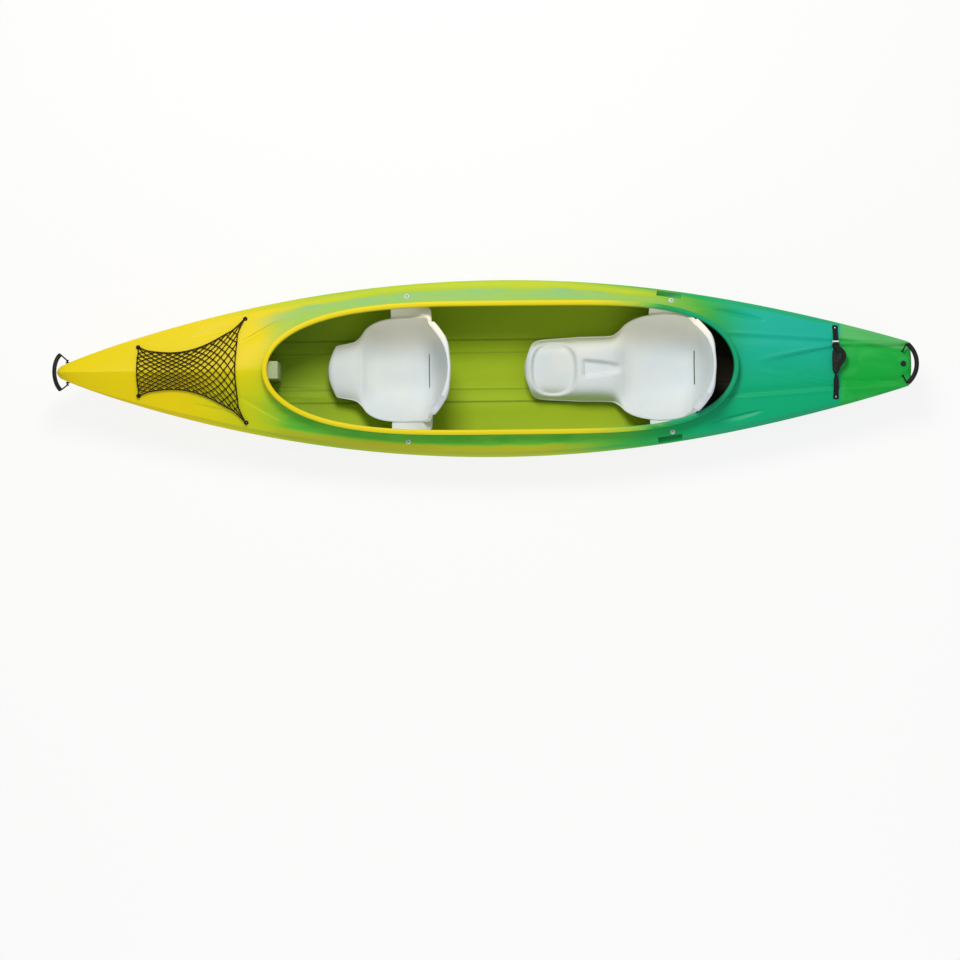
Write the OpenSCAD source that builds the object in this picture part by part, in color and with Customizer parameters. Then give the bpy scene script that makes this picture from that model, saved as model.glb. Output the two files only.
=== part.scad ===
// Open two-seat kayak: one moulded shell with two bucket seats and its deck fittings.
// Bow at -X, stern at +X, starboard at +Y, keel flat on Z = 0. All sizes in mm.

/* [Hull] */
// Length of the moulding from the bow to the transom
hull_len = 4050; // [3850:10:4300]
// Greatest width over the gunwales
beam = 842; // [810:2:880]
// Wall of the moulded hull and deck
wall = 5; // [4.5:0.5:7]
// Height of the gunwale amidships
side_h = 230; // [222:1:245]
// How much higher the gunwale is at the bow
bow_rise = 110; // [95:1:125]
// How much lower than the aft deck the gunwale is at the stern
stern_step = 28; // [20:1:36]
// Half width of the bow at its tip
tip_half = 18; // [14:1:24]
// Half width of the transom
transom_half = 100; // [94:1:110]
// Width of the bevel along the gunwale
bevel_w = 24; // [16:1:30]
// Height of the bevel along the gunwale
bevel_h = 28; // [20:1:32]
// Half width of the flat keel plank as a share of the half width
plank_share = 0.21; // [0.16:0.01:0.26]
// Fullness of the bilge amidships
bilge_full = 3.3; // [2.4:0.1:4]

/* [Deck] */
// Height of the foredeck's ridge
ridge_h = 364; // [358:1:372]
// Height of the aft deck
aft_deck_h = 280; // [276:1:288]
// Height that the side decks would reach on the centre line
crown_h = 385; // [375:1:395]
// Depth of the tray in the aft deck
tray_depth = 14; // [8:1:18]
// Half width of the tray
tray_half = 88; // [80:1:92]

/* [Cockpit] */
// Length of the opening
open_len = 2209; // [2150:1:2250]
// Width of the side deck from the gunwale to the opening
side_deck = 128; // [120:1:136]
// Place of the opening's middle along the hull
open_mid = 73.5; // [60:0.5:85]
// Height of the coaming lip over the rear half
lip_h = 329; // [324:1:338]
// How much the lip rises over the front paddler
lip_rise = 23; // [15:1:28]
// How much more the lip rises at its front tip
lip_tip = 47; // [38:1:54]
// Width of the rolled lip
lip_w = 24; // [20:1:28]
// Depth of the rolled lip
lip_t = 20; // [16:1:22]
// Thickness of the coaming's upright wall
coaming_t = 11; // [9:1:13]

/* [Seats] */
// Wall of the moulded seats
seat_t = 5; // [4:0.5:6]
// Length of a seat's ear along the hull
ear_len = 197; // [170:1:220]
// Distance of the front seat's bolts from the middle of the hull
front_bolt_x = -369; // [-380:1:-358]
// Distance of the front seat's bolts from the edge of the deck
front_bolt_in = 35; // [31:1:39]
// Distance of the rear seat's bolts from the middle of the hull
rear_bolt_x = 886; // [876:1:896]
// Distance of the rear seat's bolts from the edge of the deck
rear_bolt_in = 25; // [21:1:29]
// Shank diameter of a seat bolt
bolt_d = 8; // [6:1:10]
// Diameter of a seat bolt's washer
washer_d = 23; // [20:1:26]
// Thickness of the ring between deck and ear
spacer_t = 5; // [4:0.5:8]

/* [Handles] */
// Diameter of the handle cords
cord_d = 7; // [6:0.5:9]
// Diameter of the bow grip
bow_grip_d = 20; // [17:1:23]
// Half width of the bow grip between its ends
bow_grip_half = 82; // [76:1:90]
// Rise of the bow grip's bend
bow_grip_rise = 46; // [40:1:52]
// Lean of the bow loop, forward of upright
bow_lean = 29; // [20:1:36]
// Diameter of the stern grip
stern_grip_d = 22; // [19:1:24]
// Half width of the stern grip between its ends
stern_grip_half = 92; // [86:1:98]
// Rise of the stern grip's bend
stern_grip_rise = 42; // [36:1:46]
// Half distance between the stern cord's holes
stern_hole_half = 59; // [54:1:64]

/* [Fittings] */
// Bore of the tube across the stern
lock_bore_d = 18; // [14:1:20]
// Outer diameter of that tube
lock_tube_d = 25; // [23:1:28]
// Diameter of the drain plug's head
plug_d = 24; // [20:1:26]
// Lift of the drain plug for each turn
plug_pitch = 3; // [2:0.5:4]
// Width of the strap across the tray
strap_w = 25; // [20:1:28]
// Thickness of the strap
strap_t = 2; // [1.5:0.5:2.5]
// Half width of the net's cords
net_cord = 2; // [1.5:0.25:2.5]
// Gap left in running fits
run_fit = 0.3; // [0.2:0.05:0.4]
// Radial gap of a pivot
pivot_fit = 0.08; // [0.05:0.01:0.1]
// Gap left where pieces rest on each other
rest_fit = 0.02; // [0.01:0.01:0.05]

/* [Hidden] */
$fn = 48;
half_len = hull_len / 2;
half_beam = beam / 2;
wide_x = 0.018 * hull_len;
fore_len = half_len + wide_x;
aft_len = half_len - wide_x;
open_a = open_len / 2;
open_half = half_beam - side_deck;
open_fit = open_half / 293;
open_bow = open_mid - open_a;
open_stern = open_mid + open_a;
stern_rise = aft_deck_h - side_h - stern_step;
front_bolt_y = deck_edge(front_bolt_x) - front_bolt_in;
rear_bolt_y = deck_edge(rear_bolt_x) - rear_bolt_in;
seat_at = open_mid - 2098.5;
tray_len = 752;
net_cols = 20;
net_rows = 16;
n_st = 48;
spot = 1.5;
bow_axis_x = -half_len + 46;
bow_axis_z = side_h + bow_rise - 40;
stern_axis_x = half_len - 44;
lock_x = half_len - 44;
lock_z = side_h + stern_rise - 41;
plug_x = half_len - 40;
knot_d = cord_d + 1.6;
bow_reach = 60;
stern_reach = 24;
stern_axis_z = aft_deck_h + 3;
buckle_z = aft_deck_h + 8;
strap_x = half_len - 362;
strap_end_a = deck_edge(strap_x) - 11.2;
strap_end_b = deck_edge(strap_x) - 31.2;
keeper_y = 108;
strap_lift = min(60, strap_end_a - keeper_y - 5);

function clamp(v, a, b) = min(max(v, a), b);
function mix(a, b, t) = a + (b - a) * t;
function ease(t) = let (u = clamp(t, 0, 1)) u * u * (3 - 2 * u);

// Half width of the gunwale before the ends are rounded off
function raw_half(x) = x < wide_x
    ? tip_half + (half_beam - tip_half) * sin(90 * pow(clamp((x + half_len) / fore_len, 0, 1), 0.86))
    : transom_half + (half_beam - transom_half) * sin(90 * pow(clamp((half_len - x) / aft_len, 0, 1), 0.93));

// Rounding of the bow's tip and of the transom's corners
function tip_round(d, r) = d >= r ? 1 : sqrt(max(0, 1 - pow(1 - d / r, 2)));
function gun_half(x) = raw_half(x) * tip_round(x + half_len, 22) * tip_round(half_len - x, 14);
function gun_z(x) = x < wide_x
    ? side_h + bow_rise * pow(clamp((wide_x - x) / fore_len, 0, 1), 2.5)
    : side_h + stern_rise * pow(clamp((x - wide_x) / aft_len, 0, 1), 4);

// Keel line with its stem and its raked stern
function stem_z(s) = s > 1325 ? 0 : ridge_h * pow(1 - pow(max(s, 0.5) / 1325, 0.35), 2.03);
function stern_z(d) = 20 * max(0, 1 - d / 1492) + 234 * pow(max(0, 1 - d / 250), 3.1);
function keel_z(x) = min(max(stem_z(x + half_len), stern_z(half_len - x)),
    gun_z(x) - (x < 0 ? 50 : 12));

// Bevel along the gunwale, fading out to both ends
function bevel_f(x) = clamp((raw_half(x) - 60) / 180, 0.15, 1);
function deck_edge(x) = max(1, raw_half(x) - bevel_w * bevel_f(x));
function bevel_z(x) = gun_z(x) + bevel_h * bevel_f(x);

// Crown of the deck along the centre line and its roundness across
function crown_z(x) = let (s = x - seat_at)
    s < 1600 ? mix(ridge_h, crown_h, ease((s - 900) / 600))
             : mix(crown_h, aft_deck_h, ease((s - 2750) / 450));
function crown_p(x) = let (s = x - seat_at)
    s < 1600 ? mix(1.08, 1.5, ease((s - 500) / 700)) : mix(1.5, 3, ease((s - 3000) / 400));
function tray_w(x) = let (d = tray_len - (half_len - x))
    d < 0 ? 0 : tray_half * pow(clamp(d / 400, 0, 1), 0.8);
function tray_z(x, y) = tray_depth * ease((tray_w(x) - abs(y)) / 22 + 0.5) * ease(tray_w(x) / 60);
function deck_z(x, y) = bevel_z(x) + (crown_z(x) - bevel_z(x))
    * (1 - pow(clamp(abs(y) / deck_edge(x), 0, 1), crown_p(x))) - tray_z(x, y);

// Section of the hull, from the keel to the gunwale
function fair(x) = x < wide_x
    ? bilge_full - (bilge_full - 1.3) * pow((wide_x - x) / fore_len, 1.5)
    : bilge_full - (bilge_full - 1.9) * pow((x - wide_x) / aft_len, 2);
sec_a = [0, 13, 26, 39, 52, 64, 77, 90];
function section(x, b, zk, zs) = let (e = 2 / fair(x), y0 = 0.354 * b, z0 = zk + 0.065 * (zs - zk))
    concat([[0, zk], [plank_share * b, zk + 0.03 * (zs - zk) * clamp(1 - b / 60, 0, 1)]],
        [for (a = sec_a) [y0 + (b - y0) * pow(sin(a), e), z0 + (zs - z0) * (1 - pow(cos(a), e))]]);

// Outline of the cockpit opening and the height of its lip
function open_p(u) = u < 0 ? 3.5 : 4.8;
function open_y(u) = open_half * sqrt(max(0, 1 - pow(abs(u), open_p(u))));
function open_pt(t) = let (u = -cos(180 * t)) [open_mid + open_a * u, open_y(u)];
function open_n(t) = t <= 0 ? [-1, 0] : t >= 1 ? [1, 0]
    : let (d = open_pt(min(1, t + 0.002)) - open_pt(max(0, t - 0.002))) [-d[1], d[0]] / norm(d);
function lip_z(x) = let (f = (x - open_mid + open_a) / open_len)
    lip_h + lip_rise * ease((0.708 - f) / 0.574) + lip_tip * pow(clamp((0.134 - f) / 0.134, 0, 1.1), 1.8);

// Stations round the boat, close together at both ends
stations = concat([for (k = [0 : n_st - 1]) k / n_st], [1 - 0.5 / n_st, 1]);
n_half = len(stations) - 1;
function st_x(t) = -half_len + hull_len * t * t * (3 - 2 * t);
function st_n(t) = t <= 0 ? [1, 0] : t >= 1 ? [-1, 0]
    : let (x = st_x(t), h = 0.2, a = [x - h, gun_half(x - h)], b = [x + h, gun_half(x + h)], d = b - a)
        [d[1], -d[0]] / norm(d);

// One strip of the shell, from the keel over the gunwale to the lip and back inside to the keel
ring_q = [0.022, 0.2, 0.42, 0.64, 0.84];
function strip(t) = let (
        x = st_x(t), b = gun_half(x), zs = gun_z(x), zk = keel_z(x), f = bevel_f(x),
        edge = [x, b] + st_n(t) * bevel_w * f, ez = bevel_z(x),
        c = open_pt(t), n = open_n(t), base = c + n * coaming_t, lz = lip_z(c[0]),
        k_in = 1 - 2 * 14 / hull_len, xi = x * k_in, bi = max(b - wall, 0.6 * b),
        zi = zk + min(wall * (1 + 2 * pow(abs(x) / half_len, 4)), 0.5 * (zs - zk)),
        edge_i = [xi, bi] + st_n(t) * bevel_w * f,
        bz = deck_z(base[0], base[1]))
    concat(
        [for (p = section(x, b, zk, zs)) [x, p[0], p[1]]],
        [[edge[0], edge[1], ez]],
        [for (q = ring_q) let (p = mix(edge, base, q)) [p[0], p[1], deck_z(p[0], p[1])]],
        [[base[0], base[1], bz], lip_at(c, n, coaming_t, lz - lip_t), lip_at(c, n, lip_w - 4, lz - lip_t + 1),
            lip_at(c, n, lip_w, lz - lip_t / 2), lip_at(c, n, lip_w - 5, lz - 1), lip_at(c, n, 6, lz),
            lip_at(c, n, 0, lz - 6), [c[0], c[1], deck_z(c[0], c[1]) - wall]],
        [for (i = [4 : -1 : 0]) let (p = mix(edge_i, c, ring_q[i])) [p[0], p[1], deck_z(p[0], p[1]) - wall]],
        [[edge_i[0], edge_i[1], ez - wall * mix(0.5, 1, f)]],
        let (g = section(x, bi, zi, zs - wall * 0.3)) [for (i = [len(g) - 1 : -1 : 0]) [xi, g[i][0], g[i][1]]]);
function lip_at(c, n, off, z) = [c[0] + n[0] * off, c[1] + n[1] * off, z];

// Sheet with an even thickness below a grid of points
function cell(g, i, j) = g[clamp(i, 0, len(g) - 1)][clamp(j, 0, len(g[0]) - 1)];
function grid_n(g, i, j) = let (n = cross(cell(g, i + 1, j) - cell(g, i - 1, j),
    cell(g, i, j + 1) - cell(g, i, j - 1))) n / norm(n);
module sheet(g, t) {
    r = len(g);
    c = len(g[0]);
    m = r * c;
    top = [for (i = [0 : r - 1], j = [0 : c - 1]) g[i][j]];
    low = [for (i = [0 : r - 1], j = [0 : c - 1]) g[i][j] - grid_n(g, i, j) * t];
    f = [for (i = [0 : r - 2], j = [0 : c - 2]) let (a = i * c + j, b = a + 1, d = a + c, e = d + 1)
        each [[a, b, e], [a, e, d], [m + a, m + e, m + b], [m + a, m + d, m + e]]];
    s = [for (i = [0 : r - 2]) let (a = i * c, b = a + c, d = a + c - 1, e = d + c)
        each [[a, b, m + b], [a, m + b, m + a], [e, d, m + d], [e, m + d, m + e]]];
    u = [for (j = [0 : c - 2]) let (a = j, b = j + 1, d = (r - 1) * c + j, e = d + 1)
        each [[b, a, m + a], [b, m + a, m + b], [d, e, m + e], [d, m + e, m + d]]];
    polyhedron(concat(top, low), concat(f, s, u));
}

function slope_x(x, y) = (deck_z(x + 8, y) - deck_z(x - 8, y)) / 16;
function slope_y(x, y) = (deck_z(x, y + 8) - deck_z(x, y - 8)) / 16;
function deck_n(x, y) = let (n = [-slope_x(x, y), -slope_y(x, y), 1]) n / norm(n);

// Frame standing on the deck, Z along the deck's normal
module on_deck(x, y) {
    n = deck_n(x, y);
    az = atan2(n[1], n[0]);
    translate([x, y, deck_z(x, y)]) rotate([0, acos(n[2]), az]) rotate([0, 0, -az]) children();
}
module at_bolts() {
    for (sy = [-1, 1]) {
        on_deck(front_bolt_x, sy * front_bolt_y) children();
        on_deck(rear_bolt_x, sy * rear_bolt_y) children();
    }
}

// Rod between two points
module rod(a, b, d) {
    v = b - a;
    translate(a) rotate([0, acos(v[2] / norm(v)), atan2(v[1], v[0])]) cylinder(d = d, h = norm(v));
}

// Moulded shell
module skin() {
    st = [for (t = stations) strip(t)];
    k = len(st[0]);
    n = n_half;
    ns = (n + 1) * k;
    pts = concat([for (i = [0 : n]) each st[i]],
        [for (i = [1 : n - 1], j = [1 : k - 2]) let (p = st[i][j]) [p[0], -p[1], p[2]]]);
    function si(i, j) = i * k + j;
    function pi(i, j) = i == 0 || i == n || j == 0 || j == k - 1 ? si(i, j) : ns + (i - 1) * (k - 2) + j - 1;
    f = [for (i = [0 : n - 1], j = [0 : k - 2])
        let (a = si(i, j), b = si(i + 1, j), c = si(i + 1, j + 1), d = si(i, j + 1),
             e = pi(i, j), g = pi(i + 1, j), h = pi(i + 1, j + 1), l = pi(i, j + 1))
        each (i < n / 2) == (j < k / 2)
            ? [[a, b, c], [a, c, d], [e, h, g], [e, l, h]]
            : [[a, b, d], [b, c, d], [e, l, g], [g, l, h]]];
    polyhedron(pts, f);
}
module hull_shell() {
    color([0.62, 0.72, 0.15]) difference() {
        skin();
        at_bolts() {
            translate([0, 0, -spot]) cylinder(d = washer_d + 4, h = 14);
            translate([0, 0, -wall - 12]) cylinder(d = washer_d, h = 12 + spot);
            translate([0, 0, -wall - 4]) cylinder(d = bolt_d + 1, h = wall + 8);
        }
        translate([bow_axis_x, 0, bow_axis_z]) rotate([90, 0, 0])
            cylinder(d = cord_d + 2 * pivot_fit, h = 160, center = true);
        for (sy = [-1, 1]) translate([stern_axis_x, sy * stern_hole_half, stern_axis_z - 40])
            cylinder(d = cord_d + 2 * run_fit, h = 60);
        translate([plug_x, 0, deck_z(plug_x, 0) - 30]) cylinder(d = plug_d - 5 + 2 * rest_fit, h = 60);
        translate([plug_x, 0, deck_z(plug_x, 0) - spot]) cylinder(d = plug_d + 6, h = 20);
        translate([lock_x, 0, lock_z]) rotate([90, 0, 0])
            cylinder(d = lock_tube_d + 2 * rest_fit, h = 300, center = true);
        at_plates() {
            translate([0, 0, -spot]) cylinder(d = strap_w + 9, h = 12);
            translate([0, 0, -16]) cylinder(d = 4 + 2 * rest_fit, h = 20);
        }
        at_eyes() {
            translate([0, 0, -spot]) cylinder(d = 24, h = 12);
            translate([0, 0, -16]) cylinder(d = 4 + 2 * rest_fit, h = 20);
        }
    }
}
module at_plates() {
    on_deck(strap_x, strap_end_a) children();
    on_deck(strap_x, -strap_end_b) children();
}

// Tube across the stern
module stern_lock_bush() {
    y1 = gun_half(lock_x) - 4;
    color([0.05, 0.05, 0.05]) translate([lock_x, 0, lock_z]) rotate([90, 0, 0]) difference() {
        cylinder(d = lock_tube_d, h = 2 * y1, center = true);
        cylinder(d = lock_bore_d, h = 2 * y1 + 2, center = true);
    }
}

// Seats, lofted over ribs: place, height, half width, then how far the edge is forward, up, how square, dish
front_ribs = [
    [1286, 92, 96, 26, -6, 4, 0], [1292, 108, 112, 16, -14, 4, 0], [1310, 117, 121, 6, -20, 4, 0],
    [1350, 118, 126, 0, -22, 4, 0], [1400, 116, 136, 0, -16, 4, 0], [1430, 107, 158, 0, 4, 4, 0],
    [1462, 80, 198, 0, 58, 3.6, 0], [1500, 66, 222, 0, 95, 3.5, 0], [1560, 62, 238, 0, 130, 3.5, 0],
    [1640, 62, 243, 0, 160, 3.5, 0], [1720, 66, 243, -10, 200, 3.5, 0], [1772, 84, 240, -27, 226, 3, 0],
    [1804, 130, 236, -49, 200, 2.6, 0], [1824, 200, 230, -68, 150, 2.4, 0], [1840, 290, 215, -84, 75, 2.2, 0],
    [1850, 370, 195, -80, 15, 2, 0], [1857, 440, 165, -69, -30, 2, 0], [1860, 475, 138, -54, -34, 2, 0],
    [1862, 490, 110, -40, -26, 2, 0]];
rear_ribs = [
    [2222, 84, 88, 26, -6, 4, 0], [2229, 110, 106, 16, -26, 4, 0], [2250, 124, 126, 5, -54, 5, 0],
    [2286, 126, 137, 0, -70, 6, 14], [2360, 126, 143, 0, -74, 6, 26], [2436, 128, 147, 0, -74, 6, 14],
    [2475, 137, 150, 0, -80, 6, 0], [2550, 140, 151, 0, -82, 6, 10], [2630, 132, 154, 0, -70, 6, 8],
    [2668, 112, 172, 0, -20, 5, 0], [2702, 84, 205, 0, 50, 4, 0], [2740, 68, 226, 0, 95, 3.5, 0],
    [2800, 62, 242, 0, 130, 3.5, 0], [2880, 62, 248, 0, 160, 3.5, 0], [2965, 66, 240, -10, 190, 3.5, 0],
    [3022, 84, 222, -27, 226, 3, 0], [3056, 130, 212, -48, 200, 2.6, 0], [3080, 200, 207, -66, 145, 2.4, 0],
    [3097, 290, 202, -78, 75, 2.2, 0], [3108, 370, 192, -72, 15, 2, 0], [3117, 440, 168, -62, -30, 2, 0],
    [3122, 475, 140, -50, -34, 2, 0], [3125, 490, 112, -38, -26, 2, 0]];
function rib_pt(r, v, at) = let (t = pow(abs(v), r[5]))
    [at + r[0] + r[3] * t, r[2] * open_fit * v, r[1] + r[4] * t - r[6] * max(0, 1 - pow(v / 0.8, 2))];
seat_v = [-1, -0.96, -0.9, -0.82, -0.7, -0.54, -0.36, -0.18, 0, 0.18, 0.36, 0.54, 0.7, 0.82, 0.9, 0.96, 1];
module bucket(ribs, at) {
    sheet([for (r = ribs) [for (v = seat_v) rib_pt(r, v, at)]], seat_t);
}
// Ear that carries the seat under the side deck
module ear(bx, by, rim) {
    sx = slope_x(bx, by);
    sy = slope_y(bx, by);
    drop = (wall - spot + spacer_t) * norm([sx, sy, 1]);
    z0 = deck_z(bx, by) - drop;
    w = ear_len / 2;
    rows = [[rim - 7, 196, w, 0], [rim + 4, 226, w, 0], [mix(rim, by, 0.45), mix(226, z0, 0.62), w * 0.9, 0],
        [by - 23, z0 - 23 * sy, 46, 1], [by, z0, 42, 1], [by + 14, z0 + 14 * sy, 34, 1]];
    difference() {
        sheet([for (r = rows) [for (k = [1, 0.5, 0, -0.5, -1])
            [bx + k * r[2], r[0], r[1] + r[3] * sx * k * r[2]]]], seat_t);
        on_deck(bx, by) translate([0, 0, -40]) cylinder(d = bolt_d + 1, h = 60);
    }
}
module front_seat() {
    color([0.93, 0.93, 0.9]) {
        bucket(front_ribs, seat_at);
        for (m = [0, 1]) mirror([0, m, 0]) ear(front_bolt_x, front_bolt_y, 242 * open_fit);
    }
}
module rear_seat() {
    color([0.93, 0.93, 0.9]) {
        bucket(rear_ribs, seat_at);
        for (m = [0, 1]) mirror([0, m, 0]) ear(rear_bolt_x, rear_bolt_y, 247 * open_fit);
    }
}

// Seat fixings
module seat_bolts() {
    color([0.75, 0.75, 0.76]) at_bolts() {
        translate([0, 0, 3 - spot + 2 * rest_fit]) cylinder(d1 = bolt_d + 6, d2 = bolt_d, h = 4.5);
        translate([0, 0, -wall - spacer_t - seat_t - 10]) cylinder(d = bolt_d, h = wall + spacer_t + seat_t + 13);
    }
}
module seat_washers() {
    color([0.95, 0.95, 0.95]) at_bolts() translate([0, 0, rest_fit - spot]) difference() {
        cylinder(d = washer_d, h = 3);
        translate([0, 0, -1]) cylinder(d = bolt_d + 2 * run_fit, h = 5);
    }
}
module seat_spacers() {
    color([0.08, 0.08, 0.08]) at_bolts() translate([0, 0, spot - wall - spacer_t + rest_fit]) difference() {
        cylinder(d = washer_d - 2, h = spacer_t - 2 * rest_fit);
        translate([0, 0, -1]) cylinder(d = bolt_d + 2 * run_fit, h = spacer_t + 2);
    }
}
module seat_nuts() {
    color([0.7, 0.7, 0.72]) at_bolts() translate([0, 0, spot - wall - spacer_t - seat_t - rest_fit]) difference() {
        union() {
            translate([0, 0, -1.6]) cylinder(d = washer_d - 3, h = 1.6);
            translate([0, 0, -8]) cylinder(d = bolt_d * 1.8, h = 7, $fn = 6);
        }
        translate([0, 0, -20]) cylinder(d = bolt_d + 2 * rest_fit, h = 40);
    }
}

// Buoyancy, standing on the floor and reaching up under the deck
function floor_z(x) = keel_z(x) + wall * (1 + 2 * pow(abs(x) / half_len, 4));
module foam(x0, x1, hw) {
    xs = [for (k = [0 : 6]) mix(x0, x1, k / 6)];
    p = [for (x = xs) let (a = floor_z(x) + 1.5, b = min(deck_z(x, hw), deck_z(x, 0)) - wall - 3)
        each [[x, -hw, a], [x, hw, a], [x, hw, b], [x, -hw, b]]];
    f = [for (i = [0 : 5], j = [0 : 3]) let (a = 4 * i + j, b = 4 * i + (j + 1) % 4)
        each [[a, b + 4, b], [a, a + 4, b + 4]]];
    polyhedron(p, concat([[0, 2, 3], [0, 1, 2], [24, 26, 25], [24, 27, 26]], f));
}
module bow_foam_pillar() {
    color([0.95, 0.95, 0.93]) foam(open_bow - 354, open_bow + 50, 42);
}
module stern_foam_block() {
    color([0.95, 0.95, 0.93]) foam(mix(open_stern, half_len, 0.0354), mix(open_stern, half_len, 0.4959), 46);
}

// Net stretched over the foredeck
net_x0 = mix(-half_len, open_bow, 0.3833);
net_x1 = mix(-half_len, open_bow, 0.8974);
net_w0 = 0.7338 * raw_half(net_x0);
net_w1 = 0.8517 * raw_half(net_x1);
function net_half(u) = mix(net_w0, net_w1, u) - 88 * 4 * u * (1 - u);
function net_pt(i, j) = let (u = i / net_cols, v = 2 * j / net_rows - 1,
        x = mix(net_x0, net_x1, u) - 49 * (1 - v * v) * u * u, y = v * net_half(u))
    [x, y, deck_z(x, y)] + 7 * deck_n(x, y);
module at_eyes() {
    for (sy = [-1, 1]) {
        let ($post = 6.5) on_deck(net_x0 + 3, sy * (net_w0 - 3)) rotate([0, 0, sy * 127]) children();
        let ($post = 5.2) on_deck(net_x1 - 2, sy * (net_w1 - 4)) rotate([0, 0, sy * 60]) children();
    }
}
module deck_net() {
    t = 3.4;
    nc = net_cols;
    nr = net_rows;
    st = nr + 1;
    m = (nc + 1) * st;
    cells = [for (i = [0 : nc], j = [0 : nr]) if ((i + j) % 2 == 1) [i, j]];
    function ring(i, j) = [for (c = [[i - 1, j], [i, j + 1], [i + 1, j], [i, j - 1]])
        if (c[0] >= 0 && c[0] <= nc && c[1] >= 0 && c[1] <= nr) c];
    function mean(q) = let (s = [for (p = q) net_pt(p[0], p[1])]) [for (k = [0 : 2]) sum(s, k) / len(s)];
    function sum(s, k, i = 0) = i >= len(s) ? 0 : s[i][k] + sum(s, k, i + 1);
    function near_edge(q) = len(q) == 3 ? 3.4 : 2.6;
    function inset(p, q) = let (a = net_pt(p[0], p[1]), c = mean(q), d = norm(c - a))
        mix(a, c, min(0.45, near_edge(q) * net_cord / d));
    low = [for (i = [0 : nc], j = [0 : nr]) net_pt(i, j)];
    top = [for (p = low) p + [0, 0, t]];
    hole = [for (c = cells) let (q = ring(c[0], c[1])) each [for (p = q) inset(p, q)]];
    size = [for (c = cells) len(ring(c[0], c[1]))];
    start = [for (k = 0, a = 0; k < len(cells); a = a + size[k], k = k + 1) a];
    nh = len(hole);
    all = concat(low, top, hole, [for (p = hole) p + [0, 0, t]]);
    f = [for (k = [0 : len(cells) - 1])
        let (q = ring(cells[k][0], cells[k][1]), w = len(q), b = 2 * m + start[k])
        each [for (e = [0 : w - 1]) let (g = (e + 1) % w, a = q[e][0] * st + q[e][1], d = q[g][0] * st + q[g][1],
                rim = q[e][0] == q[g][0] || q[e][1] == q[g][1])
            each concat([[m + a, m + d, b + nh + g], [m + a, b + nh + g, b + nh + e],
                [a, b + g, d], [a, b + e, b + g],
                [b + e, b + nh + g, b + g], [b + e, b + nh + e, b + nh + g]],
                rim ? [[a, d, m + d], [a, m + d, m + a]] : [])]];
    used = [for (i = [0 : nc], j = [0 : nr]) (i + j) % 2 == 0];
    slot = [for (k = 0, a = 0; k < len(used); a = a + (used[k] ? 1 : 0), k = k + 1) a];
    nu = slot[m - 1] + (used[m - 1] ? 1 : 0);
    function re(v) = v < m ? slot[v] : v < 2 * m ? nu + slot[v - m] : 2 * nu + v - 2 * m;
    pts = concat([for (v = [0 : m - 1]) if (used[v]) low[v]], [for (v = [0 : m - 1]) if (used[v]) top[v]],
        [for (v = [2 * m : len(all) - 1]) all[v]]);
    color([0.06, 0.06, 0.06]) polyhedron(pts, [for (x = f) [for (v = x) re(v)]]);
}
module net_eyes() {
    color([0.05, 0.05, 0.05]) at_eyes() translate([0, 0, rest_fit - spot]) difference() {
        union() {
            cylinder(d = 22, h = 3.5);
            for (sy = [-1, 1]) translate([0, sy * 8.6, 0]) cylinder(d = 3.6, h = $post);
            translate([0, 0, $post]) rotate([0, 0, 90]) rotate([90, 0, 0])
                rotate_extrude(angle = 180) translate([8.6, 0]) circle(d = 3.6);
        }
        translate([0, 0, -1]) cylinder(d = 4 + 2 * rest_fit, h = 6);
    }
}
module net_screws() {
    color([0.7, 0.7, 0.72]) at_eyes() translate([0, 0, 3.5 - spot + 2 * rest_fit]) {
        cylinder(d1 = 7, d2 = 5, h = 1.6);
        translate([0, 0, -15]) cylinder(d = 4, h = 15.2);
    }
}

// Bow loop, in the plane that turns about the cord across the bow
bow_r = (bow_grip_half * bow_grip_half + bow_grip_rise * bow_grip_rise) / (2 * bow_grip_rise);
bow_a = asin(bow_grip_half / bow_r);
bow_c = bow_reach + bow_grip_rise - bow_r;
bow_out = gun_half(bow_axis_x) + 15;
module in_bow_loop() {
    translate([bow_axis_x, 0, bow_axis_z]) rotate([0, -90 - bow_lean, 0]) children();
}
module bend(r, c, a, d) {
    translate([c, 0, 0]) rotate([0, 0, -a]) rotate_extrude(angle = 2 * a) translate([r, 0]) circle(d = d);
}
module bow_grip() {
    color([0.06, 0.06, 0.06]) in_bow_loop() difference() {
        bend(bow_r, bow_c, bow_a, bow_grip_d);
        bend(bow_r, bow_c, bow_a + 1, cord_d + 2 * run_fit);
    }
}
module bow_cord() {
    e = bow_a + 3;
    color([0.1, 0.1, 0.1]) in_bow_loop() {
        bend(bow_r, bow_c, e, cord_d);
        for (sy = [-1, 1]) {
            p = [bow_c + bow_r * cos(e), sy * bow_r * sin(e), 0];
            translate(p) sphere(d = knot_d);
            rod(p, [0, sy * bow_out, 0], cord_d);
            translate([0, sy * bow_out, 0]) sphere(d = knot_d);
        }
    }
}
module bow_cross_cord() {
    color([0.1, 0.1, 0.1]) in_bow_loop() rotate([90, 0, 0])
        cylinder(d = cord_d, h = 2 * (bow_out - knot_d / 2 - rest_fit), center = true);
}
module bow_beads() {
    color([0.06, 0.06, 0.06]) in_bow_loop() for (sy = [-1, 1]) translate([0, sy * (bow_out - 9), 0])
        rotate([90, 0, 0]) difference() {
            cylinder(d = 19, h = 6, center = true);
            cylinder(d = cord_d + 2 * rest_fit, h = 8, center = true);
        }
}

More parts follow.
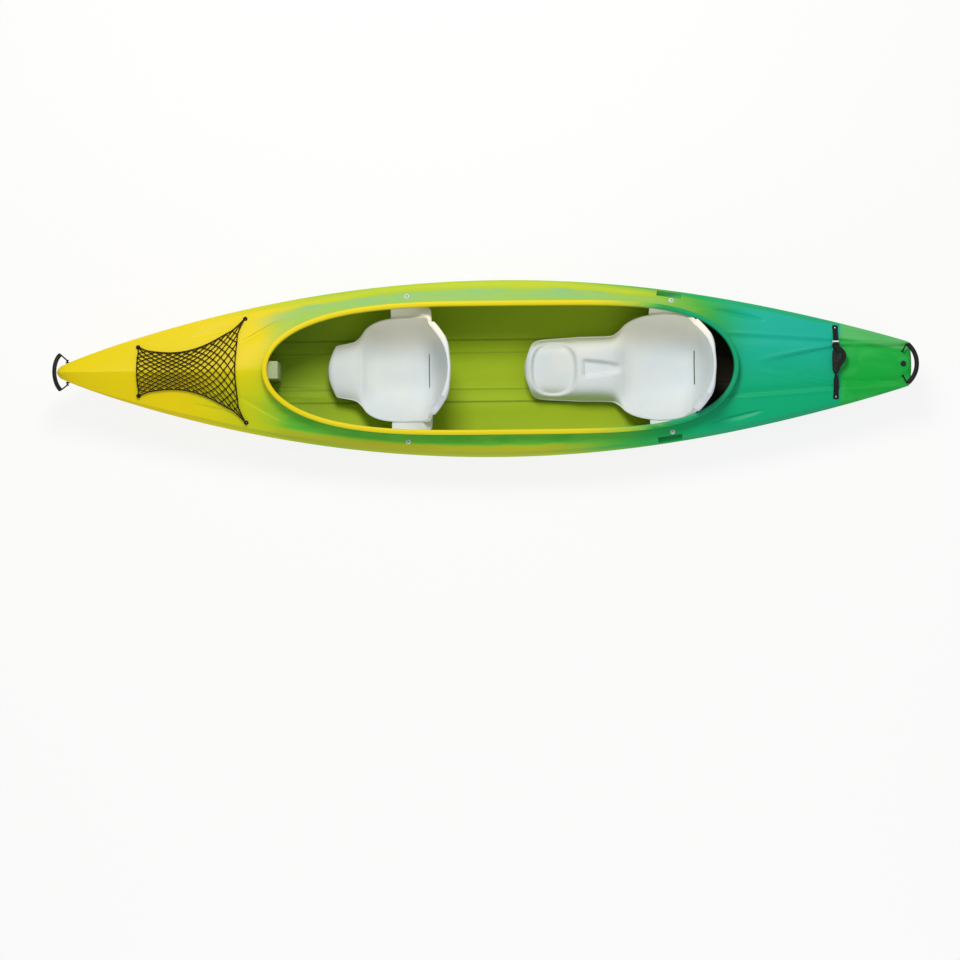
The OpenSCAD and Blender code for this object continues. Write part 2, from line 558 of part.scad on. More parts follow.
// Stern loop, lying on the deck
stern_r = (stern_grip_half * stern_grip_half + stern_grip_rise * stern_grip_rise) / (2 * stern_grip_rise);
stern_a = asin(stern_grip_half / stern_r);
stern_c = stern_reach + stern_grip_rise - stern_r;
module in_stern_loop() {
    translate([stern_axis_x, 0, stern_axis_z]) children();
}
module stern_grip() {
    color([0.06, 0.06, 0.06]) in_stern_loop() difference() {
        bend(stern_r, stern_c, stern_a, stern_grip_d);
        bend(stern_r, stern_c, stern_a + 1, cord_d + 2 * run_fit);
    }
}
module stern_cord() {
    e = stern_a + 3;
    color([0.1, 0.1, 0.1]) in_stern_loop() {
        bend(stern_r, stern_c, e, cord_d);
        for (sy = [-1, 1]) {
            p = [stern_c + stern_r * cos(e), sy * stern_r * sin(e), 0];
            translate(p) sphere(d = knot_d);
            rod(p, [0, sy * stern_hole_half, 0], cord_d);
            translate([0, sy * stern_hole_half, 0]) rotate([90, 0, 0]) cylinder(d = knot_d, h = knot_d, center = true);
        }
    }
}
module stern_beads() {
    z1 = stern_axis_z - knot_d / 2 - run_fit;
    z0 = deck_z(stern_axis_x, stern_hole_half) - wall - 3;
    color([0.06, 0.06, 0.06]) for (sy = [-1, 1]) translate([stern_axis_x, sy * stern_hole_half, 0]) {
        translate([0, 0, z0 - 12]) cylinder(d = cord_d, h = z1 - z0 + 12);
        translate([0, 0, z0 - 9]) cylinder(d = 16, h = 8);
    }
}

// Drain: bush in the deck, ring and screwed plug
drain_z = deck_z(plug_x, 0) - spot;
module drain_bush() {
    color([0.1, 0.1, 0.1]) translate([plug_x, 0, drain_z]) difference() {
        union() {
            translate([0, 0, rest_fit]) cylinder(d = plug_d + 4, h = 2);
            translate([0, 0, -20]) cylinder(d = plug_d - 5, h = 21);
        }
        translate([0, 0, -24]) cylinder(d = plug_d - 10, h = 30);
    }
}
module drain_seal() {
    color([0.15, 0.15, 0.15]) translate([plug_x, 0, drain_z + 2 + 2 * rest_fit]) difference() {
        cylinder(d = plug_d - 2, h = 1.8);
        translate([0, 0, -1]) cylinder(d = plug_d - 9.6, h = 4);
    }
}
module drain_plug() {
    color([0.05, 0.05, 0.05]) translate([plug_x, 0, drain_z + 3.8 + 3 * rest_fit]) difference() {
        union() {
            cylinder(d = plug_d, h = 5);
            translate([0, 0, -18]) cylinder(d = plug_d - 10 - 2 * pivot_fit, h = 19);
        }
        translate([-plug_d, -1.5, 3]) cube([2 * plug_d, 3, 4]);
    }
}

// Strap across the tray with its buckle
plate_t = 2.4;
strap_top = plate_t - spot + 3 * rest_fit + strap_t;
function strap_pt(dx, y) = let (s = y > 0 ? 1 : -1, e = y > 0 ? strap_end_a : strap_end_b,
        gx = slope_x(strap_x, s * e), gy = slope_y(strap_x, s * e),
        z1 = deck_z(strap_x, s * e) + strap_top * norm([gx, gy, 1]) + gx * dx + gy * (y - s * e))
    [strap_x + dx, y, mix(buckle_z + strap_t / 2, z1, ease((abs(y) - e + strap_lift) / (strap_lift - 16)))];
module strap(y0, y1) {
    difference() {
        sheet([for (k = [0 : 14]) let (y = mix(y0, y1, k / 14)) [for (x = [1, 0.33, -0.33, -1])
            strap_pt(x * strap_w / 2, y)]], strap_t);
        at_plates() translate([0, 0, -5]) cylinder(d = 4 + 2 * run_fit, h = 20);
    }
}
module strap_starboard() {
    color([0.05, 0.05, 0.05]) strap(62, strap_end_a + 12);
}
module strap_port() {
    color([0.05, 0.05, 0.05]) strap(-strap_end_b - 12, -34);
}
module strap_tail() {
    w = strap_w / 2;
    path = [[88, 6.6], [74, 12], [56, 15.5], [36, 17.5], [16, 18], [2, 20.5], [-4, 24.5], [0, 28.5],
        [14, 30.5], [34, 29.5]];
    color([0.05, 0.05, 0.05]) sheet([for (k = [0 : len(path) - 1]) let (p = path[k], o = 16 * ease(k / 7))
        [for (x = [-1, -0.33, 0.33, 1]) [strap_x + 2 + o + x * w, p[0], buckle_z + p[1]]]], strap_t);
}
module strap_plates() {
    color([0.05, 0.05, 0.05]) at_plates() translate([0, 0, rest_fit - spot]) difference() {
        cylinder(d = strap_w + 4, h = plate_t);
        translate([0, 0, -1]) cylinder(d = 4 + 2 * rest_fit, h = 5);
    }
}
module strap_screws() {
    color([0.7, 0.7, 0.72]) at_plates() {
        translate([0, 0, -14]) cylinder(d = 4, h = strap_top + 15);
        translate([0, 0, strap_top + 0.1]) cylinder(d1 = 9, d2 = 6, h = 2);
    }
}
module block(c, s) {
    translate(c) cube(s, center = true);
}
module buckle_socket() {
    color([0.05, 0.05, 0.05]) translate([strap_x, 0, buckle_z]) difference() {
        block([0, 35, 0], [36, 54, 13]);
        block([0, 26, 0], [29, 48, 6]);
        for (s = [-1, 1]) block([s * 17, 30, 0], [9, 18, 6]);
        block([0, 56, 0], [28, 16, strap_t + 1]);
    }
}
module buckle_plug() {
    color([0.07, 0.07, 0.07]) translate([strap_x, 0, buckle_z]) difference() {
        union() {
            block([0, -13, 0], [36, 40, 11]);
            block([0, 20, 0], [9, 40, 5]);
            for (s = [-1, 1]) {
                block([s * 11, 18, 0], [5, 36, 5]);
                block([s * 11.7, 29, 0], [5, 12, 5]);
            }
        }
        block([0, -30, 0], [28, 14, strap_t + 1]);
    }
}
module strap_slider() {
    color([0.05, 0.05, 0.05]) translate([strap_x, 88, buckle_z]) difference() {
        block([0, 0, 0.5], [strap_w + 10, 18, 7]);
        block([0, 0, 0], [strap_w + 1, 20, strap_t + 1]);
    }
}
module strap_keeper() {
    color([0.95, 0.95, 0.95]) translate([strap_x, keeper_y, buckle_z]) difference() {
        block([0, 0, 0], [strap_w + 5, 6, strap_t + 4]);
        block([0, 0, 0], [strap_w + 1, 8, strap_t + 1]);
    }
}

hull_shell();
stern_lock_bush();
front_seat();
rear_seat();
seat_bolts();
seat_washers();
seat_spacers();
seat_nuts();
bow_foam_pillar();
stern_foam_block();
deck_net();
net_eyes();
net_screws();
bow_grip();
bow_cord();
bow_cross_cord();
bow_beads();
stern_grip();
stern_cord();
stern_beads();
drain_plug();
drain_seal();
drain_bush();
strap_starboard();
strap_port();
strap_tail();
buckle_socket();
buckle_plug();
strap_slider();
strap_keeper();
strap_plates();
strap_screws();
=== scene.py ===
# %% [markdown]
# # A tandem kayak, dressed in Blender
# The solid model already fixes every size and every joint of this open two-seat kayak. This lesson loads it
# as a frame and gives each piece its real surface: flowing plastic, cord, webbing, hose. Everything is in
# metres. The bow points along -X, starboard along +Y, and the keel lies on Z = 0.

# %% Load the frame
import math

import bpy
import numpy as np
from mathutils import Matrix, Vector


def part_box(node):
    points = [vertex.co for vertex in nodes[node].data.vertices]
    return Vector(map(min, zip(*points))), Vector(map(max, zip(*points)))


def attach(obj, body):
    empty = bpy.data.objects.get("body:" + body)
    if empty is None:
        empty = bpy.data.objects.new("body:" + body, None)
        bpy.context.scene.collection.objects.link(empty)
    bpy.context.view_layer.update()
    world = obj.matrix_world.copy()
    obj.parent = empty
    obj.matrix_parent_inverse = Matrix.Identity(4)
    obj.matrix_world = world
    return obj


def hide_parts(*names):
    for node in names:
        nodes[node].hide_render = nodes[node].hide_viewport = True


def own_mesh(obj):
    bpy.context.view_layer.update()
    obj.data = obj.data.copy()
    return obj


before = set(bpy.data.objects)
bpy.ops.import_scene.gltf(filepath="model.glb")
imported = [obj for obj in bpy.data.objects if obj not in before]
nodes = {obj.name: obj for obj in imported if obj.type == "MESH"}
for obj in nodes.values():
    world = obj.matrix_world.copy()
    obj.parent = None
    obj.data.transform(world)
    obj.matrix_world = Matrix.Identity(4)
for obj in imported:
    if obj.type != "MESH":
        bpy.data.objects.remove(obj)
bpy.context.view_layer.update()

print("nodes in the frame:", len(nodes))

# %% [markdown]
# ## Camera
# The reference looks straight down on the boat from very far away, a little from port. A long lens at a
# long distance keeps the gunwales nearly parallel, and the boat sits above the middle of the frame. A shift
# of the lens could place it there too, but aiming beside the boat keeps the other views simple.

# %% Camera
def aim(obj, target, roll=0.0):
    """Turns a camera or lamp so that it looks at a point."""
    look = (Vector(target) - obj.location).to_track_quat("-Z", "Y")
    obj.rotation_euler = (look.to_matrix() @ Matrix.Rotation(math.radians(roll), 3, "Z")).to_euler()


VIEW_WIDE = 4.575
VIEW_FAR = 16.0
VIEW_UP = 89.2
VIEW_AT = (-0.031, -0.529, 0.2)
camera_data = bpy.data.cameras.new("camera")
camera = bpy.data.objects.new("camera", camera_data)
bpy.context.collection.objects.link(camera)
camera_data.sensor_width = 36
camera_data.lens = 36 * VIEW_FAR / VIEW_WIDE
rise = math.radians(VIEW_UP)
camera.location = Vector(VIEW_AT) + VIEW_FAR * Vector((0, -math.cos(rise), math.sin(rise)))
aim(camera, VIEW_AT, roll=-0.66)
bpy.context.scene.camera = camera
print("lens", round(camera_data.lens, 1), "mm at", VIEW_FAR, "m")

# %% [markdown]
# ## Tools for the bench
# A few small helpers are used all through the lesson. Operators act on whatever is selected,
# so each of them first leaves one object alone on the bench.

# %% Bench helpers
def alone(obj):
    """Leaves one object selected and active, in object mode."""
    if bpy.context.object and bpy.context.object.mode != "OBJECT":
        bpy.ops.object.mode_set(mode="OBJECT")
    bpy.ops.object.select_all(action="DESELECT")
    obj.hide_set(False)
    obj.select_set(True)
    bpy.context.view_layer.objects.active = obj
    return obj


def start(name):
    """Names the primitive that was just added."""
    obj = bpy.context.object
    obj.name = name
    obj.data.name = name
    return obj


def pick(obj, kind, test):
    """Selects vertices or faces in edit mode by their place in the mesh."""
    alone(obj)
    bpy.ops.object.mode_set(mode="EDIT")
    bpy.ops.mesh.select_all(action="DESELECT")
    bpy.ops.mesh.select_mode(type=kind)
    bpy.ops.object.mode_set(mode="OBJECT")
    items = obj.data.vertices if kind == "VERT" else obj.data.polygons
    for item in items:
        item.select = bool(test(item.co if kind == "VERT" else item.center, item.normal))
    bpy.ops.object.mode_set(mode="EDIT")


def modify(obj, kind, **settings):
    """Adds a modifier, sets it and applies it."""
    alone(obj)
    modifier = obj.modifiers.new(kind.lower(), kind)
    for name, value in settings.items():
        setattr(modifier, name, value)
    bpy.ops.object.modifier_apply(modifier=modifier.name)


def settle(obj, weld=0.00002):
    """Puts a finished piece's place and turn into its mesh, merges doubles and turns the faces outwards."""
    alone(obj)
    bpy.ops.object.transform_apply(location=True, rotation=True, scale=True)
    bpy.ops.object.mode_set(mode="EDIT")
    bpy.ops.mesh.select_all(action="SELECT")
    bpy.ops.mesh.remove_doubles(threshold=weld)
    bpy.ops.mesh.normals_make_consistent(inside=False)
    bpy.ops.object.mode_set(mode="OBJECT")
    return obj


def smooth(obj, angle):
    """Shades a piece smooth, apart from edges sharper than an angle."""
    alone(obj)
    bpy.ops.object.shade_smooth_by_angle(angle=math.radians(angle))


def done(obj, angle, at=None):
    """Stands a finished piece at its place, if it has one, then settles and smooths it."""
    if at is not None:
        obj.matrix_world = at
    settle(obj)
    smooth(obj, angle)
    return obj


def stood(obj, at):
    """Carries a settled piece to its place and puts that place into its mesh."""
    obj.matrix_world = at
    alone(obj)
    bpy.ops.object.transform_apply(location=True, rotation=True, scale=True)
    return obj


def joined(name, pieces):
    """Joins several objects into one."""
    alone(pieces[0])
    for piece in pieces[1:]:
        piece.select_set(True)
    if len(pieces) > 1:
        bpy.ops.object.join()
    obj = bpy.context.object
    obj.name = name
    obj.data.name = name
    return obj


def mesh_from(name, points, faces):
    """A mesh object from points in millimetres, for shapes that follow formulas."""
    data = bpy.data.meshes.new(name)
    in_metres = np.asarray(points, float) / 1000
    data.from_pydata([tuple(p) for p in in_metres], [], [tuple(f) for f in faces])
    data.update()
    obj = bpy.data.objects.new(name, data)
    bpy.context.collection.objects.link(obj)
    return obj


def grid_faces(rows, cols, close=False):
    """Quads of a grid of points, row by row; close joins the last column to the first."""
    last = cols if close else cols - 1
    return [
        (i * cols + j, (i + 1) * cols + j, (i + 1) * cols + (j + 1) % cols, i * cols + (j + 1) % cols)
        for i in range(rows - 1)
        for j in range(last)
    ]


def report(obj):
    print(obj.name, len(obj.data.polygons), "faces, size", [round(v, 3) for v in obj.dimensions])


def place(obj, body, slot, finish, *replaced):
    """Gives a finished piece its material and its body, and hides the CAD nodes that it stands for."""
    obj.data.materials.clear()
    obj.data.materials.append(finish)
    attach(obj, body)
    if replaced:
        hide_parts(*replaced)
    report(obj)


print("bench ready")

# %% Blocks, rods and cuts
def brick(size, at):
    """A block to cut with or to start from, in millimetres."""
    bpy.ops.object.select_all(action="DESELECT")
    bpy.ops.mesh.primitive_cube_add(size=1, location=[v / 1000 for v in at])
    obj = start("brick")
    obj.scale = [v / 1000 for v in size]
    bpy.ops.object.transform_apply(location=True, rotation=True, scale=True)
    return obj


def rod(radius, length, at, sides=24, turn=(0, 0, 0)):
    """A rod about a centre, in millimetres."""
    bpy.ops.object.select_all(action="DESELECT")
    bpy.ops.mesh.primitive_cylinder_add(
        vertices=sides, radius=radius / 1000, depth=length / 1000,
        location=[v / 1000 for v in at], rotation=turn,
    )
    obj = start("rod")
    bpy.ops.object.transform_apply(location=True, rotation=True, scale=True)
    return obj


def softened(obj, width, segments=3, angle=40):
    """Bevels the edges sharper than an angle, by a width in millimetres."""
    limit = math.radians(angle)
    modify(obj, "BEVEL", width=width / 1000, segments=segments, limit_method="ANGLE", angle_limit=limit)
    return obj


def boolean(obj, operation, *tools):
    """Joins tools to a piece, or takes them away, one after another."""
    for tool in tools:
        settle(tool)
        modify(obj, "BOOLEAN", operation=operation, object=tool, solver="EXACT")
        bpy.data.objects.remove(tool)
    return obj


def cut(obj, *tools):
    return boolean(obj, "DIFFERENCE", *tools)


print("blocks and rods ready")

# %% [markdown]
# ## Shader sums
# Materials here are sums of masks, so one small class wraps a socket and lets Python write the Math nodes.
# Any other node comes from its node method, which sets the node up first and then feeds its sockets.
# A socket may be fed with a wire, with a plain value or with a colour's #rrggbb.

# %% Wires
class Wire:
    """One output socket of a shader tree. Sums and products of wires add Math nodes."""

    def __init__(self, tree, socket=None):
        self.tree = tree
        self.socket = socket

    def node(self, kind, settings=None, sockets=None, output=0):
        made = self.tree.nodes.new("ShaderNode" + kind)
        for name, value in (settings or {}).items():
            if name == "stops":
                ramp = made.color_ramp.elements
                ramp.remove(ramp[1])
                ramp[0].position, ramp[0].color = value[0][0], colour(value[0][1])
                for spot, code in value[1:]:
                    ramp.new(spot).color = colour(code)
            else:
                setattr(made, name, value)
        for name, value in (sockets or {}).items():
            if isinstance(value, Wire):
                self.tree.links.new(value.socket, made.inputs[name])
            elif isinstance(value, str):
                made.inputs[name].default_value = colour(value)
            else:
                made.inputs[name].default_value = value
        return Wire(self.tree, made.outputs[output])

    def math(self, operation, *values):
        return self.node("Math", {"operation": operation}, dict(enumerate(values)))

    def __add__(self, other):
        return self.math("ADD", self, other)

    def __sub__(self, other):
        return self.math("SUBTRACT", self, other)

    def __rsub__(self, other):
        return self.math("SUBTRACT", other, self)

    def __mul__(self, other):
        return self.math("MULTIPLY", self, other)

    def __truediv__(self, other):
        return self.math("DIVIDE", self, other)

    def __neg__(self):
        return self.math("MULTIPLY", self, -1.0)

    __radd__ = __add__
    __rmul__ = __mul__

    def size(self):
        return self.math("ABSOLUTE", self)

    def wave(self):
        return self.math("SINE", self)

    def between(self, low, high):
        """0 below low, 1 above high and smooth in between."""
        return self.node(
            "MapRange",
            {"interpolation_type": "SMOOTHSTEP"},
            {"Value": self, "From Min": low, "From Max": high},
        )

    def window(self, low, full, end, gone):
        """1 from full to end and 0 outside low and gone."""
        return self.between(low, full) * (1 - self.between(end, gone))

    def near(self, middle, close, far):
        """1 closer than close to a middle and 0 farther than far from it."""
        return 1 - (self - middle).size().between(close, far)

    def axes(self):
        return [self.node("SeparateXYZ", None, {0: self}, k) for k in range(3)]

    def stretched(self, scale, turn=(0, 0, 0), shift=(0, 0, 0)):
        return self.node(
            "Mapping", None, {"Vector": self, "Scale": scale, "Rotation": turn, "Location": shift}
        )

    def noise(self, scale, detail=3.0, rough=0.5, bend=0.0):
        return self.node(
            "TexNoise",
            None,
            {"Vector": self, "Scale": scale, "Detail": detail, "Roughness": rough, "Distortion": bend},
        )

    def tint(self, low, high, kind="MIX"):
        """Mixes two colours by this mask."""
        settings = {"data_type": "RGBA", "blend_type": kind, "clamp_factor": True}
        return self.node("Mix", settings, {0: self, 6: low, 7: high}, 2)

    def ramp(self, stops):
        return self.node("ValToRGB", {"stops": stops}, {"Fac": self})


def colour(code):
    """A colour as a shader wants it, from the #rrggbb that a screen shows."""
    parts = [int(code[k : k + 2], 16) / 255 for k in (1, 3, 5)]
    return tuple(c / 12.92 if c <= 0.04045 else ((c + 0.055) / 1.055) ** 2.4 for c in parts) + (1.0,)


def new_finish(name, base, **constants):
    """A material with its constants on its sockets, its shader, and a wire of Object coordinates."""
    made = bpy.data.materials.new(name)
    made.use_nodes = True
    shader = made.node_tree.nodes["Principled BSDF"]
    shader.inputs["Base Color"].default_value = colour(base)
    for socket, value in constants.items():
        shader.inputs[socket.replace("_", " ")].default_value = value
    return made, shader, Wire(made.node_tree).node("TexCoord", output=3)


def feed(shader, **wires):
    for socket, wire in wires.items():
        shader.id_data.links.new(wire.socket, shader.inputs[socket.replace("_", " ")])


def bump(height, depth, strength=1.0):
    return height.node("Bump", None, {"Height": height, "Distance": depth, "Strength": strength})


print("shader sums ready")

# %% [markdown]
# ## Studio
# The reference is a cut-out on white. A pale floor gives the boat a soft shadow to stand on, and the floor
# reads as white to the camera while it still bounces plain light. One wide lamp stands high to starboard,
# as in the reference, where it reaches the port half of the cockpit's floor. A broad low lamp to port and
# an even sky fill the rest.

# %% Floor and backdrop
bpy.ops.object.select_all(action="DESELECT")
bpy.ops.mesh.primitive_plane_add(size=60, location=(0, 0, 0))
floor = start("floor")
bpy.ops.object.transform_apply(location=True, rotation=True, scale=True)
floor_finish = bpy.data.materials.new("studio_floor")
floor_finish.use_nodes = True
CAMERA_RAY, GLOSSY_RAY, CLEAR_RAY = 0, 3, 6
rays = Wire(floor_finish.node_tree)
by_camera, by_gloss, through_clear = [
    rays.node("LightPath", output=kind) for kind in (CAMERA_RAY, GLOSSY_RAY, CLEAR_RAY)
]
seen = by_camera + by_gloss + through_clear
glow = rays.node("Emission", None, {"Color": "#ffffff", "Strength": 1.0})
pale = rays.node("BsdfDiffuse", None, {"Color": (0.9, 0.9, 0.9, 1)})
both = rays.node("MixShader", None, {0: seen.math("MINIMUM", seen, 1.0) * 0.84, 1: pale, 2: glow})
floor_out = floor_finish.node_tree.nodes["Material Output"]
floor_finish.node_tree.links.new(both.socket, floor_out.inputs["Surface"])
floor.data.materials.append(floor_finish)
print("floor laid")

# %% Lamps and sky
def lamp(name, at, wide, power, tone):
    """A round lamp that looks at the middle of the boat and isn't seen itself."""
    data = bpy.data.lights.new(name, "AREA")
    data.shape = "DISK"
    data.size = wide
    data.energy = power
    data.color = colour(tone)[:3]
    obj = bpy.data.objects.new(name, data)
    bpy.context.collection.objects.link(obj)
    obj.location = at
    aim(obj, (0, 0, 0.2))
    obj.visible_camera = False


SKY_LIGHT, SKY_SEEN = 0.47, 0.98
lamp("key", (-0.5, 3.2, 5.2), 2.2, 228, "#fffaf2")
lamp("fill", (0.4, -5.8, 1.4), 4.0, 84, "#f6f8ff")
world = bpy.data.worlds.new("sky")
bpy.context.scene.world = world
world.use_nodes = True
sky = world.node_tree.nodes["Background"]
sky.inputs["Color"].default_value = (1, 1, 1, 1)
by_camera = Wire(world.node_tree).node("LightPath", output=CAMERA_RAY)
strength = by_camera * (SKY_SEEN - SKY_LIGHT) + SKY_LIGHT
world.node_tree.links.new(strength.socket, sky.inputs["Strength"])
bpy.context.scene.view_settings.view_transform = "Standard"

# %% [markdown]
# ## Hull lines
# The shell is blow-smooth plastic, drawn from a handful of curves: the gunwale in plan, the keel, the
# deck's crown and the outline of the cockpit. It could be box-modelled and subdivided, but a boat is
# designed from its lines, so the same formulas as in the solid model are used here, only sampled much
# finer. Lengths are in millimetres.

# %% Hull lines
HALF_LEN, HALF_BEAM, WIDE_X = 2025.0, 421, 72.9
FORE_LEN, AFT_LEN = HALF_LEN + WIDE_X, HALF_LEN - WIDE_X
BOW_HALF, STERN_HALF, BOW_TIP, STERN_TIP = 18, 100, 22.0, 14.0
GUNWALE_Z, BOW_RISE, STERN_RISE = 230, 110, 22
STEM_Z, MID_CROWN, AFT_CROWN = 364, 385, 280
WALL = 5.0
BEVEL_IN, BEVEL_UP = 24, 28
TRAY_HALF, TRAY_DEEP = 88, 14
SLOPE_STEP = 8.0


def clamp(v, low, high):
    return np.minimum(np.maximum(v, low), high)


def mix(a, b, t):
    return a + (b - a) * t


def ease(t):
    u = clamp(t, 0.0, 1.0)
    return u * u * (3 - 2 * u)


def bell(off, wide):
    return np.exp(-((off / wide) ** 2))


def raw_half(x):
    """Half the beam, with both ends still cut off square."""
    fore = np.sin(np.pi / 2 * clamp((x + HALF_LEN) / FORE_LEN, 0, 1) ** 0.86)
    aft = np.sin(np.pi / 2 * clamp((HALF_LEN - x) / AFT_LEN, 0, 1) ** 0.93)
    return np.where(x < WIDE_X, mix(BOW_HALF, HALF_BEAM, fore), mix(STERN_HALF, HALF_BEAM, aft))


def tip_round(d, r):
    return np.sqrt(np.maximum(0, 1 - clamp(1 - d / r, 0, 1) ** 2))


def gun_half(x):
    return raw_half(x) * tip_round(x + HALF_LEN, BOW_TIP) * tip_round(HALF_LEN - x, STERN_TIP)


def gun_z(x):
    fore = GUNWALE_Z + BOW_RISE * clamp((WIDE_X - x) / FORE_LEN, 0, 1) ** 2.5
    aft = GUNWALE_Z + STERN_RISE * clamp((x - WIDE_X) / AFT_LEN, 0, 1) ** 4
    return np.where(x < WIDE_X, fore, aft)


def keel_z(x):
    s, d = x + HALF_LEN, HALF_LEN - x
    stem = STEM_Z * clamp(1 - (np.maximum(s, 0.5) / 1325) ** 0.35, 0, 1) ** 2.03
    stern = 20 * clamp(1 - d / 1492, 0, 1) + 234 * clamp(1 - d / 250, 0, 1) ** 3.1
    return np.minimum(np.maximum(stem, stern), gun_z(x) - np.where(x < 0, 50.0, 12.0))


def bevel_f(x):
    return clamp((raw_half(x) - 60) / 180, 0.15, 1)


def deck_edge(x):
    return np.maximum(1, raw_half(x) - BEVEL_IN * bevel_f(x))


def bevel_z(x):
    return gun_z(x) + BEVEL_UP * bevel_f(x)


def bare_deck(x, y):
    """Height of the deck without its pressings: a crown that flattens aft, with the tray sunk into it."""
    s = x + HALF_LEN
    fore = s < 1600
    crown_fore = mix(STEM_Z, MID_CROWN, ease((s - 900) / 600))
    crown = np.where(fore, crown_fore, mix(MID_CROWN, AFT_CROWN, ease((s - 2750) / 450)))
    power = np.where(fore, mix(1.08, 1.5, ease((s - 500) / 700)), mix(1.5, 3, ease((s - 3000) / 400)))
    tray = TRAY_HALF * clamp((s - 3298) / 400, 0, 1) ** 0.8
    sunk = TRAY_DEEP * ease((tray - abs(y)) / 22 + 0.5) * ease(tray / 60)
    return bevel_z(x) + (crown - bevel_z(x)) * (1 - clamp(abs(y) / deck_edge(x), 0, 1) ** power) - sunk


def deck_slope(x, y):
    """How much the plain deck rises along X and along Y."""
    h = SLOPE_STEP
    along = (bare_deck(x + h, y) - bare_deck(x - h, y)) / (2 * h)
    return along, (bare_deck(x, y + h) - bare_deck(x, y - h)) / (2 * h)


bow_deck = float(bare_deck(np.array(-1800.0), np.array(0.0)))
print("beam", 2 * float(gun_half(np.array(WIDE_X))), "mm, bow deck", bow_deck)

# %% [markdown]
# ## Pressed details of the deck
# The real deck is stiffened by shallow flutes: two pairs of creases beside the net, two leaf-shaped
# scallops behind the cockpit, a ridge down each side of the aft deck and a faint V that opens round the
# tray. They are only millimetres deep, so they are added to the deck's height where the lines run.

# %% Pressed details
def flute(x, y, a, b, depth, narrow, wide):
    """A crease from a to b, with one reach towards the centre line and another away from it."""
    dx, dy = b[0] - a[0], b[1] - a[1]
    length = math.hypot(dx, dy)
    px, py = x + HALF_LEN - a[0], abs(y) - a[1]
    along = (px * dx + py * dy) / length**2
    off = (px * -dy + py * dx) / length
    body = np.where((along > 0) & (along < 1), np.sin(np.pi * clamp(along, 0, 1)) ** 0.7, 0)
    reach = np.where(off > 0, wide, narrow) * (0.35 + 0.65 * body)
    return -depth * body * bell(off, reach)


def pressed(x, y):
    """What all the pressings add to the deck's height."""
    s, side = x + HALF_LEN, abs(y)
    z = flute(x, y, (640, 154), (850, 200), 5, 4, 26)
    z = z + flute(x, y, (850, 122), (1075, 252), 6, 22, 5)
    z = z + flute(x, y, (3105, 266), (3352, 210), 10, 6, 16)
    line = mix(156, 123, clamp((s - 3190) / 490, 0, 1)) - 18 * clamp((s - 3680) / 370, 0, 1)
    fade = ease((s - 3120) / 160)
    z = z + 5 * fade * bell(side - line, 9) - 6 * fade * bell(side - line + 22, 20)
    inner = mix(10, 96, clamp((s - 3290) / 420, 0, 1) ** 0.75)
    return z + 3 * ease((s - 3290) / 120) * bell(side - inner, 10)


def sunk_most(x, y):
    """The deepest pressing near a place, so that the inside of the wall stays under every crease."""
    steps = [pressed(x + dx, y + dy) for dx in (-15, 0, 15) for dy in (-22, -11, 0, 11, 22)]
    return np.minimum(0, np.min(steps, axis=0))


def deck_z(x, y):
    return bare_deck(x, y) + pressed(x, y)


print("depth of the scallop:", round(float(pressed(np.array(1205.0), np.array(236.0))), 1), "mm")

# %% [markdown]
# ## Cockpit
# The opening is a long rounded oval, blunter at its aft end, with a rolled lip that rises towards the bow.

# %% Cockpit lines
OPEN_X, OPEN_HALF, OPEN_WIDE = 73.5, 1104.5, 293
LIP_Z, LIP_SWEEP, LIP_PEAK = 329, 23, 47
PLANK, CHINE = 0.21, 0.354


def open_pt(t):
    """The opening's edge, from its front at 0 to its back at 1."""
    u = -np.cos(np.pi * t)
    power = np.where(u < 0, 3.5, 4.8)
    return np.stack([OPEN_X + OPEN_HALF * u, OPEN_WIDE * np.sqrt(np.maximum(0, 1 - abs(u) ** power))], -1)


def unit(v):
    return v / np.maximum(1e-9, np.linalg.norm(v, axis=-1, keepdims=True))


def open_n(t):
    """Directions out of the opening, square to its edge."""
    d = open_pt(np.minimum(1, t + 0.002)) - open_pt(np.maximum(0, t - 0.002))
    n = unit(np.stack([-d[..., 1], d[..., 0]], -1))
    n = np.where((t <= 0)[..., None], [-1.0, 0.0], n)
    return np.where((t >= 1)[..., None], [1.0, 0.0], n)


def lip_z(x):
    f = (x - OPEN_X + OPEN_HALF) / (2 * OPEN_HALF)
    peak = LIP_PEAK * clamp((0.134 - f) / 0.134, 0, 1.1) ** 1.8
    return LIP_Z + LIP_SWEEP * ease((0.708 - f) / 0.574) + peak


def section(x, b, zk, zs, shares, angles, rib=0.0):
    """Half a section from the keel out to the gunwale: the keel plank, a chine and a rounded bilge."""
    fore = 3.3 - 2.0 * clamp((WIDE_X - x) / FORE_LEN, 0, 1) ** 1.5
    aft = 3.3 - 1.4 * clamp((x - WIDE_X) / AFT_LEN, 0, 1) ** 2
    e = 2 / np.where(x < WIDE_X, fore, aft)
    y0, z0 = CHINE * b, zk + 0.065 * (zs - zk)
    plank = zk + 0.03 * (zs - zk) * clamp(1 - b / 60, 0, 1)
    points = []
    for f in shares:
        z = np.where(f <= PLANK, mix(zk, plank, f / PLANK), mix(plank, z0, (f - PLANK) / (CHINE - PLANK)))
        lift = rib * (bell(f - 0.205, 0.012) + bell(f - 0.35, 0.012))
        points.append(np.stack([x, f * b, z + lift * clamp((b - 120) / 120, 0, 1)], -1))
    for a in np.radians(angles):
        y = y0 + (b - y0) * math.sin(a) ** e
        z = z0 + (zs - z0) * (1 - max(0.0, math.cos(a)) ** e)
        points.append(np.stack([x, y, z], -1))
    return points


print("lip at the front:", float(lip_z(np.array(-1031.0))), "mm")

